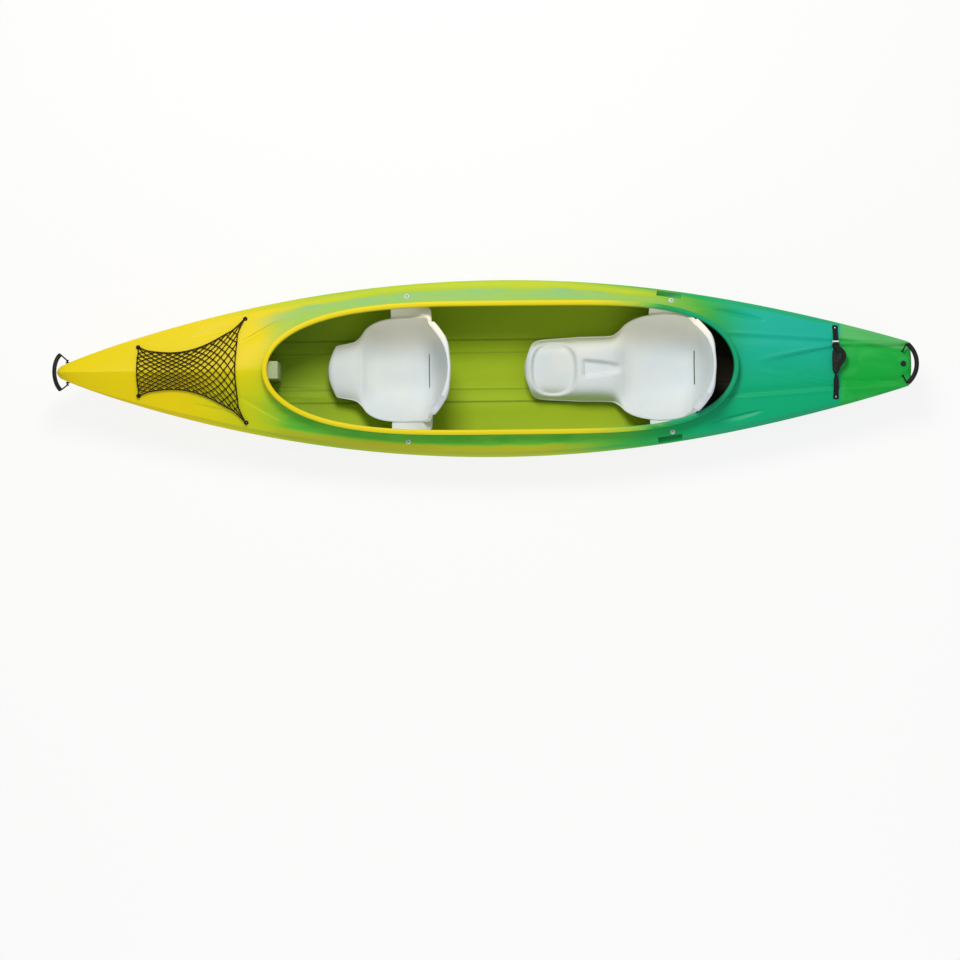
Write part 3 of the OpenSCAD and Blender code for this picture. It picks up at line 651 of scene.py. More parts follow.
# %% [markdown]
# ## Shell
# Each strip runs from the keel up the side, over the gunwale's bevel, across the deck to the lip, round the
# lip and back down inside, so the moulding has a real wall. Port is the mirror of starboard, and three
# small attributes remember which points are lip or inside and how far across the deck each one lies,
# because the colours run that way.

# %% Shell
LIP_FOOT, LIP_OUT, LIP_UP = 11, 12, 10
t = np.unique(np.concatenate([np.linspace(0, 1, 257), [1 / 1024, 1 - 1 / 1024]]))
x = -HALF_LEN + 2 * HALF_LEN * t * t * (3 - 2 * t)
b, zs, zk, f = gun_half(x), gun_z(x), keel_z(x), bevel_f(x)
step_a, step_b = x - 0.2, x + 0.2
run = np.stack([step_b - step_a, gun_half(step_b) - gun_half(step_a)], -1)
inward = unit(np.stack([run[:, 1], -run[:, 0]], -1))
inward[0], inward[-1] = [1, 0], [-1, 0]
edge = np.stack([x, b], -1) + inward * (BEVEL_IN * f)[:, None]
c, n = open_pt(t), open_n(t)
base, lz = c + n * LIP_FOOT, lip_z(c[:, 0])
strip, zone = [], []


def add(points, lip=0.0, inside=0.0, across=1.0):
    """One more line of points from bow to stern, with its three marks."""
    strip.append(points)
    zone.append((lip, inside, across))


def at_lip(off, z):
    return np.stack([c[:, 0] + n[:, 0] * off, c[:, 1] + n[:, 1] * off, z], -1)


for p in section(x, b, zk, zs, (0, 0.1, 0.2, 0.212, 0.26, 0.31, 0.345), np.linspace(0, 90, 22)):
    add(p, across=-1.0)
for q in (0.05, 0.2, 0.4, 0.6, 0.8, 0.95, 1.0):
    p = mix(np.stack([x, b, zs], -1), np.concatenate([edge, bevel_z(x)[:, None]], -1), q)
    add(p, across=q - 1)
for q in np.concatenate([[0.012], np.linspace(0.025, 0.97, 90), [0.985, 1.0]]):
    p = mix(edge, base, q)
    add(np.concatenate([p, deck_z(p[:, 0], p[:, 1])[:, None]], -1), across=q)
foot = deck_z(base[:, 0], base[:, 1])
add(at_lip(10.2, foot + 3))
for turn in np.radians([-92, -60, -35, -15, 5, 25, 45, 62, 78, 95, 115, 135, 155, 178]):
    cx, cz = math.cos(turn), math.sin(turn)
    off = LIP_OUT + LIP_OUT * math.copysign(abs(cx) ** 0.75, cx)
    add(at_lip(max(off, 0.0), lz - LIP_UP + LIP_UP * math.copysign(abs(cz) ** 0.75, cz)), lip=1.0)
add(at_lip(0.0, lz - 22), lip=1.0)
x_in = x * (1 - 14 / HALF_LEN)
b_in = np.maximum(b - WALL, 0.6 * b)
z_in = zk + np.minimum(WALL * (1 + 2 * (abs(x) / HALF_LEN) ** 4), 0.5 * (zs - zk))
edge_in = np.stack([x_in, b_in], -1) + inward * (BEVEL_IN * f)[:, None]
under = bare_deck(c[:, 0], c[:, 1]) - WALL
add(np.concatenate([c, under[:, None]], -1), inside=1.0)
for q in np.linspace(0.9, 0.05, 14):
    p = mix(edge_in, c, q)
    roof = bare_deck(p[:, 0], p[:, 1]) + sunk_most(p[:, 0], p[:, 1])
    add(np.concatenate([p, (roof - WALL)[:, None]], -1), inside=1.0)
brow = bevel_z(x) + sunk_most(edge_in[:, 0], edge_in[:, 1]) - WALL * mix(0.5, 1, f)
add(np.concatenate([edge_in, brow[:, None]], -1), inside=1.0)
floor_shares = (0, 0.1, 0.185, 0.197, 0.207, 0.22, 0.28, 0.33, 0.343, 0.352)
for p in section(x_in, b_in, z_in, zs - WALL * 0.3, floor_shares, np.linspace(4, 90, 16), 3.0)[::-1]:
    add(p, inside=1.0)

half = np.stack(strip, 1)
rows, cols = half.shape[:2]
quads = grid_faces(rows, cols)
mirrored = half * np.array([1, -1, 1])
count = rows * cols
shell = mesh_from(
    "moulded_shell",
    np.concatenate([half.reshape(-1, 3), mirrored.reshape(-1, 3)]),
    quads + [tuple(count + k for k in face[::-1]) for face in quads],
)
for name, marks in zip(("lip", "inside", "across"), zip(*zone)):
    values = np.tile(np.array(marks, np.float32), rows)
    layer = shell.data.attributes.new(name, "FLOAT", "POINT")
    layer.data.foreach_set("value", np.concatenate([values, values]))
settle(shell)
report(shell)

# %% [markdown]
# ## Holes in the shell
# The carry cords, the locking tube and the drain pass through the moulding. A joined set of rods is taken
# away from the shell with one Boolean, as a maker would drill it after moulding.

# %% Holes
BOW_AT, STERN_AT, STERN_FOOT = (-1979.0, 0.0, 300.0), (1981.0, 0.0, 283.0), 59.0
CORD_HOLE, TUBE_HOLE, DRAIN_HOLE = 4.5, 12.6, 9.7
ACROSS, UPRIGHT = (math.pi / 2, 0, 0), (0, 0, 0)
drills = []
for at, radius, depth, turn in (
    (BOW_AT, CORD_HOLE, 200, ACROSS),
    ((1981, 0, 211), TUBE_HOLE, 320, ACROSS),
    ((STERN_AT[0], STERN_FOOT, 272), CORD_HOLE, 60, UPRIGHT),
    ((STERN_AT[0], -STERN_FOOT, 272), CORD_HOLE, 60, UPRIGHT),
    ((1985, 0, 262), DRAIN_HOLE, 60, UPRIGHT),
):
    drills.append(rod(radius, depth, at, 32, turn))
before = len(shell.data.polygons)
cut(shell, joined("drill", drills))
print("faces before and after drilling:", before, len(shell.data.polygons))

# %% [markdown]
# A finger pocket is let into the deck's edge outside each rear bolt. The wall is too thin to cut there,
# so a block is joined on under the deck first and the pocket is then cut out of deck and block together.

# %% Finger pockets
POCKET_X = 878.5
BACKING = [(-38.5, 232), (-9, 232), (-9, 236), (-26, 254), (-38.5, 256)]
HOLLOW = [(-33, 240), (-6, 238), (30, 238), (30, 300), (-33.5, 300)]


def bar(name, profile, long, sign):
    """A bar beside a rear bolt, from a profile of offsets from the gunwale and heights."""
    ends_x = np.array([POCKET_X - long / 2, POCKET_X + long / 2])
    fore, aft = np.stack([ends_x, raw_half(ends_x)], -1)
    along = (aft - fore) / np.linalg.norm(aft - fore)
    out = np.array([-along[1], along[0]])
    points = [(*(end + out * off) * np.array([1, sign]), z) for end in (fore, aft) for off, z in profile]
    size = len(profile)
    faces = [(k, (k + 1) % size, size + (k + 1) % size, size + k) for k in range(size)]
    faces += [tuple(range(size))[::-1], tuple(range(size, 2 * size))]
    return settle(mesh_from(name, points, faces))


for sign in (1, -1):
    boolean(shell, "UNION", bar("pocket_backing", BACKING, 124, sign))
    cut(shell, softened(bar("pocket_hollow", HOLLOW, 114, sign), 3.0))
smooth(shell, 32)
print("faces with the pockets:", len(shell.data.polygons))

# %% [markdown]
# ## Flowing plastic
# The hull is rotationally moulded from coloured powders that melt into each other: yellow at the bow, lime
# amidships, teal towards the stern and a plain green end. Along the side decks the teal has run forward in
# streaks. The colours follow the boat's length, with noise stretched along the hull to make the borders run
# like the powder did. Painted light and shade are mixed in: the finger pockets, the lower hull and parts of
# the inside are painted darker as painted shade, and several starboard colours are painted lighter as
# painted sheen. The inside is duller than the outside.

# %% Hull finish
hull_finish, hull_shader, place_at = new_finish(
    "flowing_plastic", "#a9c61b", Roughness=0.42, IOR=1.48, Specular_IOR_Level=0.2
)
px, py, pz = place_at.axes()
side = py.size()
lip, inside, across = [
    place_at.node("Attribute", {"attribute_name": name}, None, 2) for name in ("lip", "inside", "across")
]
cloud = place_at.stretched((1.1, 2.6, 2.6)).noise(1.6, 4.0, 0.55, 0.6) - 0.5
wisp = place_at.stretched((2.4, 10.0, 8.0)).noise(1.5, 5.0, 0.6, 1.2) - 0.5
starboard_side = py.between(-0.15, 0.15)
outer = (1 - lip) * (1 - inside)
on_deck = across.between(-0.1, 0.02) * outer
on_bevel = across.between(-0.95, -0.3)
port_shelf = on_bevel * (1 - on_deck) * (1 - starboard_side) * outer
deck_shift = on_deck * (0.13 - starboard_side * 0.40) + port_shelf * 0.2
RAMP_FROM, RAMP_LONG = -2.05, 4.1
along = (px + deck_shift + cloud * 0.14 + (0.02 - RAMP_FROM)) / RAMP_LONG
BODY = [
    (-2.05, "#e6d004"), (-1.30, "#e6d004"), (-1.17, "#d9cf08"), (-1.04, "#cacb10"), (-0.91, "#bccb14"),
    (-0.78, "#a6c61c"), (-0.65, "#9cc420"), (-0.40, "#aac81c"), (0.40, "#aecb1b"), (0.52, "#90c228"),
    (0.65, "#6eb834"), (0.78, "#44b03c"), (0.91, "#24aa48"), (1.04, "#08a858"), (1.17, "#04aa6a"),
    (1.32, "#04a873"),
]
body_colour = along.ramp([((x - RAMP_FROM) / RAMP_LONG, code) for x, code in BODY])
# Painted sheen: the teal on the starboard deck is painted lighter and bluer than on port, for the lamp's
# sheen there.
teal = starboard_side.tint("#00ac76", "#14b39c")
body_colour = (on_deck * (px - starboard_side * 0.1).between(0.9, 1.25)).tint(body_colour, teal)
# Painted shade: the lower hull amidships is painted a darker olive yellow, for the shade under the bilge.
keel_painted_shade = (1 - pz.between(0.03, 0.16)) * (1 - px.size().between(0.9, 1.4)) * 0.45
body_colour = keel_painted_shade.tint(body_colour, "#b5a31a")

# %% Streaks on the side decks
border = across + wisp * 0.34 + cloud * 0.16 + starboard_side * 0.12
run_end = (px + wisp * 0.3 + 0.25 * (1 - starboard_side)).between(0.7, 1.08)
reach = (px + cloud * 0.3).between(-1.10, -0.86) * (1 - run_end)
green_run = border.between(0.2, 0.42) * reach * on_deck
rim_reach = 1 - (px + wisp * 0.3 - starboard_side * 0.5).between(0.25, 0.62)
rim_run = (1 - border.between(0.1, 0.4)) * reach * rim_reach * on_bevel * (1 - inside)
# Painted light and shade: the rim run is painted darker on port and lighter on starboard.
rim_lit_and_shaded = starboard_side.tint("#aea424", "#c2cc38")
lime_run = (across + wisp * 0.8).between(0.52, 0.85) * starboard_side * 0.85
mottle = (wisp * 1.6 + cloud + 0.5).between(0.25, 0.8)
# Painted light and shade: the green run is painted darker on port, and lighter and greyer on starboard for
# the lamp's sheen.
port_run_shaded = mottle.tint("#42ae2e", "#5eb838")
starboard_run_lit = mottle.tint("#9ac456", "#8cc07c")
run_colour = lime_run.tint(starboard_side.tint(port_run_shaded, starboard_run_lit), "#9cc648")
streaked = (green_run * 0.94).tint((rim_run * 0.6).tint(body_colour, rim_lit_and_shaded), run_colour)
stern = (px + wisp * 0.04).between(1.680, 1.692)
patches = (place_at.stretched((3.0, 5.0, 4.0)).noise(2.0, 3.0, 0.5, 0.4) - 0.5).between(-0.1, 0.2)
# Painted sheen: a lighter lime band along the starboard edge of the stern deck.
stern_edge_sheen = (side - (1.69 - px) * 0.2).between(0.118, 0.135) * starboard_side * 0.6
stern_colour = stern_edge_sheen.tint(patches.tint("#10ac3e", "#2fb852"), "#6cc078")
outside_colour = stern.tint(streaked, stern_colour)
POCKET_COS, POCKET_SIN = 0.99, 0.141
pocket_x, pocket_y = px - POCKET_X / 1000, side - 0.3622
pocket_along = pocket_x * POCKET_COS - pocket_y * POCKET_SIN
pocket_off = pocket_x * POCKET_SIN + pocket_y * POCKET_COS
# Painted shade: the finger pockets are painted dark green for the shade in the recess.
pocket = pocket_along.window(-0.0575, -0.0560, 0.0560, 0.0575)
pocket = pocket * pocket_off.window(-0.0340, -0.0325, -0.0085, -0.0060) * pz.between(0.2345, 0.237)
outside_colour = (pocket * 0.85).tint(outside_colour, "#067f38")
lip_along = (px + wisp * 0.4).between(0.40, 1.05)
lip_colour = lip_along.ramp(
    [(0.0, "#e4d112"), (0.3, "#bcca2e"), (0.55, "#6fb849"), (0.75, "#229e50"), (1.0, "#10a070")]
)
# Painted shade: the inside is painted darker olive from the rear seat's back aft.
inside_colour = (px + cloud * 0.5).between(0.70, 1.02).tint("#a2be1c", "#6d8a2c")
chine = side.near(0.149, 0.001, 0.008) * 0.55 + side.near(0.088, 0.001, 0.006) * 0.3
chine = chine * (1 - pz.between(0.05, 0.09)) * inside
inside_colour = chine.tint(inside_colour, "#3f5a18")
# Painted shade: the inside is painted darker under the foredeck, at the front of the cockpit.
inside_colour = ((1 - px.between(-0.9, -0.6)) * 0.4).tint(inside_colour, "#6f9a28")
# Painted shadow: near black brown behind the rear seat, where deep shade falls.
inside_colour = px.between(1.0, 1.1).tint(inside_colour, "#332c1a")
# The hull's colours, with the painted light and shade above mixed in.
hull_colours_and_painted_light = inside.tint(lip.between(0.3, 0.7).tint(outside_colour, lip_colour), inside_colour)
print("stops along the hull:", len(BODY))

# %% Skin of the moulding
grain = place_at.noise(220.0, 2.0, 0.6)
speckle = place_at.noise(900.0, 1.0, 0.5)
hull_colour = (speckle.between(0.35, 0.75) * 0.06).tint(hull_colours_and_painted_light, "#fff6c0", "SOFT_LIGHT")
ripple = place_at.stretched((3.0, 9.0, 9.0)).noise(2.0, 2.0, 0.4)
feed(
    hull_shader,
    Base_Color=hull_colour,
    Roughness=grain * 0.10 + place_at.noise(7.0, 3.0, 0.5) * 0.14 + inside * 0.2 + 0.28,
    Normal=bump(grain * 0.12 + ripple * 1.0 - chine * 3.0, 0.0016, 0.35),
)
place(shell, "hull", "hull_plastic", hull_finish, "hull_shell")

# %% [markdown]
# ## Seats
# Each seat is one white moulding: a front step or a child's tunnel, a bucket, a back rest that leans aft,
# and an ear on each side that bolts up under the side deck. Ribs across the seat give its lines, and a
# smooth curve through the ribs gives the moulding. A rolled rim turns down all round the edge, deeper
# behind the back rest.

# %% Seat ribs
# Each rib has its place along the boat, its height and half width, how far its ends lie aft and above,
# and how square it is.
RIB_STEPS = 7
EAR_BELOW = 8.5
FRONT_RIBS = [
    (1270, 92, 98, 40, -6, 2.3), (1277, 108, 113, 30, -14, 2.5), (1300, 117, 122, 14, -20, 3),
    (1350, 118, 126, 0, -22, 4), (1400, 116, 136, 0, -16, 4), (1430, 107, 158, 0, 4, 4),
    (1462, 80, 198, 0, 58, 3.6), (1500, 66, 222, 0, 95, 3.5), (1560, 62, 238, 0, 130, 3.5),
    (1640, 62, 243, 0, 160, 3.5), (1720, 66, 243, -10, 200, 3.5), (1772, 84, 240, -27, 226, 3),
    (1803, 130, 228, -49, 200, 2.6), (1821, 200, 220, -64, 150, 2.4), (1832, 290, 208, -72, 72, 2.2),
    (1839, 370, 191, -65, 8, 2.2), (1845, 440, 166, -52, -36, 2.2), (1848, 475, 144, -41, -40, 2.2),
    (1849, 490, 130, -33, -30, 2.2),
]
REAR_RIBS = [
    (2213, 84, 90, 34, -6, 2.6), (2221, 110, 108, 24, -26, 3), (2246, 124, 126, 8, -54, 4),
    (2286, 126, 137, 0, -70, 6), (2360, 126, 143, 0, -74, 6), (2436, 128, 147, 0, -74, 6),
    (2475, 137, 150, 0, -80, 6), (2550, 140, 151, 0, -82, 6), (2630, 132, 154, 0, -70, 6),
    (2668, 112, 172, 0, -20, 5), (2702, 84, 205, 0, 50, 4), (2740, 68, 226, 0, 95, 3.5),
    (2800, 62, 242, 0, 130, 3.5), (2880, 62, 248, 0, 160, 3.5), (2965, 66, 240, -10, 190, 3.5),
    (3018, 84, 222, -27, 226, 3), (3046, 130, 212, -46, 200, 2.6), (3065, 200, 206, -62, 145, 2.4),
    (3078, 290, 199, -71, 72, 2.2), (3086, 370, 187, -66, 8, 2.2), (3092, 440, 164, -53, -36, 2.2),
    (3095, 475, 144, -42, -40, 2.2), (3096, 490, 130, -34, -30, 2.2),
]


def through(table, fine):
    """A smooth curve through the rows of a table, with no overshoot at its steps."""
    table = np.array(table, float)
    gaps = np.diff(table, axis=0)
    slope = np.zeros_like(table)
    a, b = gaps[:-1], gaps[1:]
    same = a * b > 0
    slope[1:-1] = np.where(same, 2 * a * b / np.where(same, a + b, 1), 0)
    slope[0], slope[-1] = gaps[0], gaps[-1]
    out = []
    for k in range(len(gaps)):
        for h in np.arange(fine) / fine:
            h2, h3 = h * h, h**3
            out.append(
                table[k] * (2 * h3 - 3 * h2 + 1) + slope[k] * (h3 - 2 * h2 + h)
                + table[k + 1] * (3 * h2 - 2 * h3) + slope[k + 1] * (h3 - h2)
            )
    return np.array(out + [table[-1]])


print("ribs:", len(FRONT_RIBS), "in front and", len(REAR_RIBS), "behind")

# %% Seat shell
def seat_dents(kind, s, y):
    """Dished and grooved places of the seats, below the plain ribs."""
    side = abs(y)
    if kind == "front":
        return -3 * bell(s - 1424, 9) * ease((96 - side) / 24)
    length = np.where(s < 2350, 108, 118)
    dish = ease((1 - ((abs(s - 2350) / length) ** 2.6 + (side / 133) ** 2.6) ** (1 / 2.6)) / 0.16)
    blade = clamp((2700 - s) / 200, 0, 1)
    half = 4 + 38 * np.sqrt(blade)
    groove = ease((s - 2486) / 22) * ease(blade * 3) * ease((half - side) / 22 + 0.4)
    return -24 * dish - 22 * groove


def evened(values, passes):
    """Smooths a row of values in place, apart from its two ends."""
    for _ in range(passes):
        values[1:-1] = (values[:-2] + 2 * values[1:-1] + values[2:]) / 4
    return values


def rolled_rim(kind, rim):
    """Rows of the rim outside an edge line: it turns down all round, deepest behind the rest."""
    ahead = evened(np.gradient(rim, axis=0)[:, :2], 12)
    out = unit(np.stack([-ahead[:, 1], ahead[:, 0]], -1))
    rise = ease((rim[:, 2] - 250) / 130)
    corner = ease((abs(out[:, 1]) - 0.12) / 0.4) * ease((rim[:, 2] - 262) / 120)
    front = ease((rim[:, 0] - rim[:, 0].min()) / 50)
    wide = evened(6 * front + 7 * rise + (15 if kind == "front" else 17) * corner, 16)
    deep = evened(np.maximum(9, rim[:, 2] - 330), 16)
    rows = []
    for share, drop, lift in (
        (0.3, 0, 3), (0.65, 0, 5), (0.9, 0.03, 2), (1, 0.12, 0), (1, 0.4, 0), (1, 0.7, 0), (1, 1, 0)
    ):
        down = lift * corner - deep * drop
        rows.append(rim + np.concatenate([out * (wide * share)[:, None], down[:, None]], -1))
    return rows


def seat_shell(kind, ribs):
    """The bucket and rest as one skin through the ribs, with the rolled rim welded on."""
    share = np.linspace(0.0, 0.985, 32)
    v = np.concatenate([[-1], -np.linspace(0.985, 0.0, 32) ** 0.8, share[1:] ** 0.8, [1]])
    top = []
    for s, z, half, dx, dz, power in through(ribs, RIB_STEPS):
        t = abs(v) ** power
        sx, y = s + dx * t, half * v
        top.append(np.stack([sx - HALF_LEN, y, z + dz * t + seat_dents(kind, sx, y)], -1))
    grid = np.array(top)
    inner = mesh_from(kind + "_bucket", grid.reshape(-1, 3), grid_faces(*grid.shape[:2]))
    rim = np.concatenate([grid[:, -1], grid[-1, -2:0:-1], grid[::-1, 0]])
    roll = np.array([rim] + rolled_rim(kind, rim))
    rolled = mesh_from(kind + "_rim", roll.reshape(-1, 3), grid_faces(*roll.shape[:2]))
    return settle(joined(kind + "_bucket", [inner, rolled]), weld=0.00005)


def seat_ear(kind, ribs, bolt_x, bolt_y, shift, w):
    """The ear beside a bucket, from under its rim out to the flange below the side deck."""
    at = (np.array(float(bolt_x)), np.array(float(bolt_y)))
    sx, sy = (float(rise) for rise in deck_slope(*at))
    z0 = float(bare_deck(*at)) - EAR_BELOW * math.sqrt(sx * sx + sy * sy + 1)
    edge_line = through(ribs, RIB_STEPS)
    s, y, z = edge_line[:, 0] + edge_line[:, 3], edge_line[:, 2], edge_line[:, 1] + edge_line[:, 4]
    climbs = np.maximum.accumulate(s) <= s
    end = 14 if kind == "front" else 9
    columns = []
    for k in np.linspace(-1, 1, 31):
        here = bolt_x + shift + k * w
        rim_y = float(np.interp(here + HALF_LEN, s[climbs], y[climbs]))
        rim_z = min(float(np.interp(here + HALF_LEN, s[climbs], z[climbs])), z0 + 14)
        far = [(bolt_y - 23, -23, 46), (bolt_y, 0, 42), (bolt_y + end, end, 34)]
        table = [(here, rim_y - 3, rim_z - 7), (here, rim_y + 7, rim_z - 6)]
        half_way = mix(rim_y, bolt_y, 0.56)
        table.append((bolt_x + shift * 0.9 + k * w * 0.98, half_way, mix(rim_z - 4, z0, 0.6)))
        table += [(bolt_x + k * wide, fy, z0 + dy * sy + sx * k * wide) for fy, dy, wide in far]
        line = through(table, 6)
        line[:, 2] -= 2.0 * abs(k) ** 10
        columns.append(line)
    grid = np.array(columns)
    faces = grid_faces(*grid.shape[:2])
    sides = [(grid * np.array([1, sign, 1])).reshape(-1, 3) for sign in (1, -1)]
    return [mesh_from(kind + "_ear", points, faces) for points in sides]


def seat(kind, ribs, bolt_x, bolt_y, shift, w, slit):
    """A whole seat: bucket and ears get a thickness, and a slit is cut across the foot of the rest."""
    pieces = [seat_shell(kind, ribs)] + seat_ear(kind, ribs, bolt_x, bolt_y, shift, w)
    for piece in pieces:
        settle(piece)
        if np.mean([p.normal.z * p.area for p in piece.data.polygons]) < 0:
            piece.data.flip_normals()
        modify(piece, "SOLIDIFY", thickness=WALL / 1000, offset=-1.0)
        softened(piece, 1.4, 2, 50)
    cut(pieces[0], brick((4.5, 162, 200), (slit - HALF_LEN, 0, 100)))
    made = joined(kind + "_seat_moulding", pieces)
    smooth(made, 40)
    return made


front_seat = seat("front", FRONT_RIBS, bolt_x=-369, bolt_y=345, shift=20, w=98, slit=1757)
rear_seat = seat("rear", REAR_RIBS, bolt_x=886, bolt_y=312, shift=5, w=108, slit=3028)
print("faces of the seats:", len(front_seat.data.polygons), len(rear_seat.data.polygons))

# %% [markdown]
# ## White seat plastic
# The seats are bare white polyethylene: almost white with a cool cast, a little greyer where it is scuffed,
# with the faint orange-peel of a mould and a soft sheen. The light is softer on the starboard side, so
# there the white is painted a little lighter and warmer, as painted light.

# %% Seat finish
seat_finish, seat_shader, place_at = new_finish(
    "white_polyethylene", "#dde5ea", Roughness=0.5, IOR=1.5, Specular_IOR_Level=0.25,
    Subsurface_Weight=0.06, Subsurface_Radius=(0.01, 0.01, 0.01),
)
tone = place_at.stretched((3.0, 4.0, 4.0)).noise(1.6, 3.0, 0.5)
peel = place_at.noise(260.0, 2.0, 0.5)
scuff = place_at.stretched((60.0, 14.0, 14.0)).noise(3.0, 4.0, 0.6).between(0.62, 0.74)
seat_tone_and_painted_light = tone.between(0.35, 0.7).tint("#d9e3ea", "#e0e6e9")
# Painted light: the starboard side of each seat is painted a lighter, warmer white.
seat_tone_and_painted_light = (place_at.axes()[1].between(0.06, 0.2) * 0.9).tint(seat_tone_and_painted_light, "#fbf6e6")
feed(
    seat_shader,
    Base_Color=(scuff * 0.25).tint(seat_tone_and_painted_light, "#d6d9da"),
    Roughness=peel * 0.12 + scuff * 0.08 + 0.46,
    Normal=bump(peel + place_at.noise(24.0, 2.0, 0.5) * 1.5, 0.0012, 0.22),
)
place(front_seat, "hull", "seat_plastic", seat_finish, "front_seat")
place(rear_seat, "hull", "seat_plastic", seat_finish, "rear_seat")

# %% [markdown]
# ## Deck net
# The net is knotted from thin dark cord: diamonds that close up in the waist and open towards the cockpit,
# a stouter cord round the edge and a hook at each corner. It could be a textured sheet, but its shadow on
# the deck tells it apart from a print, so every cord is a real tube that runs from knot to knot over the
# deck.

# %% Net lines
NET_COLS, NET_ROWS = 24, 18
NET_FRONT, NET_BACK, FRONT_HALF, BACK_HALF, WAIST = -1644, -1133, 118, 250, 88
NET_LIFT, MESH_R, EDGE_R, KNOT_R = 8.6, 2.2, 2.9, 4.0


def net_points(spots):
    """Knots of the net, by column and row, lifted off the deck along the deck's slope."""
    i, j = np.array(spots).T
    u, v = np.asarray(i, float) / NET_COLS, 2 * np.asarray(j, float) / NET_ROWS - 1
    half = mix(FRONT_HALF, BACK_HALF, u) - WAIST * 4 * u * (1 - u)
    nx = mix(NET_FRONT, NET_BACK, u) - 49 * (1 - v * v) * u * u
    ny = v * half
    for end, sign, pull in ((0, -1, 14), (0, 1, 14), (1, -1, 44), (1, 1, 44)):
        cells = np.hypot((u - end) * NET_COLS, (v - sign) * NET_ROWS / 2)
        pull = pull * bell(cells, 3.2) * (cells > 0.5)
        nx, ny = nx + pull * (0.6 - 1.2 * end), ny - sign * 0.8 * pull
    gx, gy = deck_slope(nx, ny)
    normal = unit(np.stack([-gx, -gy, np.ones_like(gx)], -1))
    return np.stack([nx, ny, bare_deck(nx, ny)], -1) + NET_LIFT * normal


def travelled(path):
    """How far along a path each of its points lies."""
    return np.concatenate([[0], np.cumsum(np.linalg.norm(np.diff(path, axis=0), axis=1))])


def tube(name, path, radius, sides, closed=False):
    """A tube along points in millimetres, with its own seamless rings and capped ends."""
    path = np.asarray(path, float)
    ahead = unit(np.roll(path, -1, 0) - np.roll(path, 1, 0) if closed else np.gradient(path, axis=0))
    up = np.array([0.0, 0.0, 1.0]) if abs(ahead[:, 2]).max() < 0.9 else np.array([0.0, 1.0, 0.0])
    across = unit(np.cross(ahead, up))
    lift = np.cross(across, ahead)
    radius = np.broadcast_to(np.asarray(radius, float), (len(path),))
    turn = np.linspace(0, 2 * np.pi, sides, endpoint=False)
    spokes = np.cos(turn)[None, :, None] * across[:, None] + np.sin(turn)[None, :, None] * lift[:, None]
    rings = path[:, None] + radius[:, None, None] * spokes
    if closed:
        rings = np.concatenate([rings, rings[:1]])
    count = len(rings)
    faces = grid_faces(count, sides, close=True)
    if not closed:
        faces += [tuple(range(sides))[::-1], tuple((count - 1) * sides + k for k in range(sides))]
    obj = mesh_from(name, rings.reshape(-1, 3), faces)
    uv = obj.data.uv_layers.new(name="cord_uv")
    travel = travelled(path) / 1000
    for loop in obj.data.loops:
        ring, k = divmod(loop.vertex_index, sides)
        uv.data[loop.index].uv = (travel[min(ring, len(travel) - 1)], k / sides)
    return obj


def between_knots(knots, fine=3):
    """Points along a cord that dips a little between its knots."""
    knots = np.array(knots)
    out = []
    for a, b in zip(knots[:-1], knots[1:]):
        for h in np.arange(fine) / fine:
            out.append(mix(a, b, h) - np.array([0, 0, 1.2 * 4 * h * (1 - h)]))
    return np.array(out + [knots[-1]])


cords = []
for first in range(-NET_ROWS, NET_COLS + 1, 2):
    for lean in (1, -1):
        run = [(first + k, k if lean > 0 else NET_ROWS - k) for k in range(NET_ROWS + 1)]
        run = [(i, j) for i, j in run if 0 <= i <= NET_COLS]
        if len(run) > 1:
            knots = net_points(run) + np.array([0, 0, 0.5 * lean])
            cords.append(tube("mesh_cord", between_knots(knots), MESH_R, 6))
edge_run = (
    [(0, j) for j in range(0, NET_ROWS + 1)]
    + [(i, NET_ROWS) for i in range(1, NET_COLS + 1)]
    + [(NET_COLS, j) for j in range(NET_ROWS - 1, -1, -1)]
    + [(i, 0) for i in range(NET_COLS - 1, 0, -1)]
)
rim = net_points(edge_run)
odd = np.array([(i + j) % 2 for i, j in edge_run]) > 0
halfway = (np.roll(rim, 1, 0) + np.roll(rim, -1, 0)) / 2
rim[odd] = mix(rim[odd], halfway[odd], 0.6) + np.array([0, 0, -1.0])
cords.append(tube("edge_cord", rim, EDGE_R, 7, closed=True))
print("cords in the net:", len(cords))

# %% Knots
spots = [(i, j) for i in range(NET_COLS + 1) for j in range(NET_ROWS + 1) if (i + j) % 2 == 0]
places = net_points(spots)
bpy.ops.object.select_all(action="DESELECT")
bpy.ops.mesh.primitive_ico_sphere_add(subdivisions=2, radius=KNOT_R / 1000, location=(0, 0, 0))
knot = start("knot")
knot.scale = (1.15, 0.95, 0.8)
bpy.ops.object.transform_apply(location=True, rotation=True, scale=True)
kv = np.array([v.co for v in knot.data.vertices]) * 1000
kf = [tuple(p.vertices) for p in knot.data.polygons]
points, faces = [], []
for k, at in enumerate(places):
    points.append(kv + at)
    faces += [tuple(v + k * len(kv) for v in f) for f in kf]
cords.append(mesh_from("knots", np.concatenate(points), faces))
bpy.data.objects.remove(knot)
net = joined("knotted_net", cords)
smooth(net, 60)
print("knots in the net:", len(spots))

# %% [markdown]
# ## Cord
# Braided cord is black with a trace of brown, dull, and ribbed by its strands. The strands follow the
# cord's own length, so the braid reads a UV map that runs along each tube.

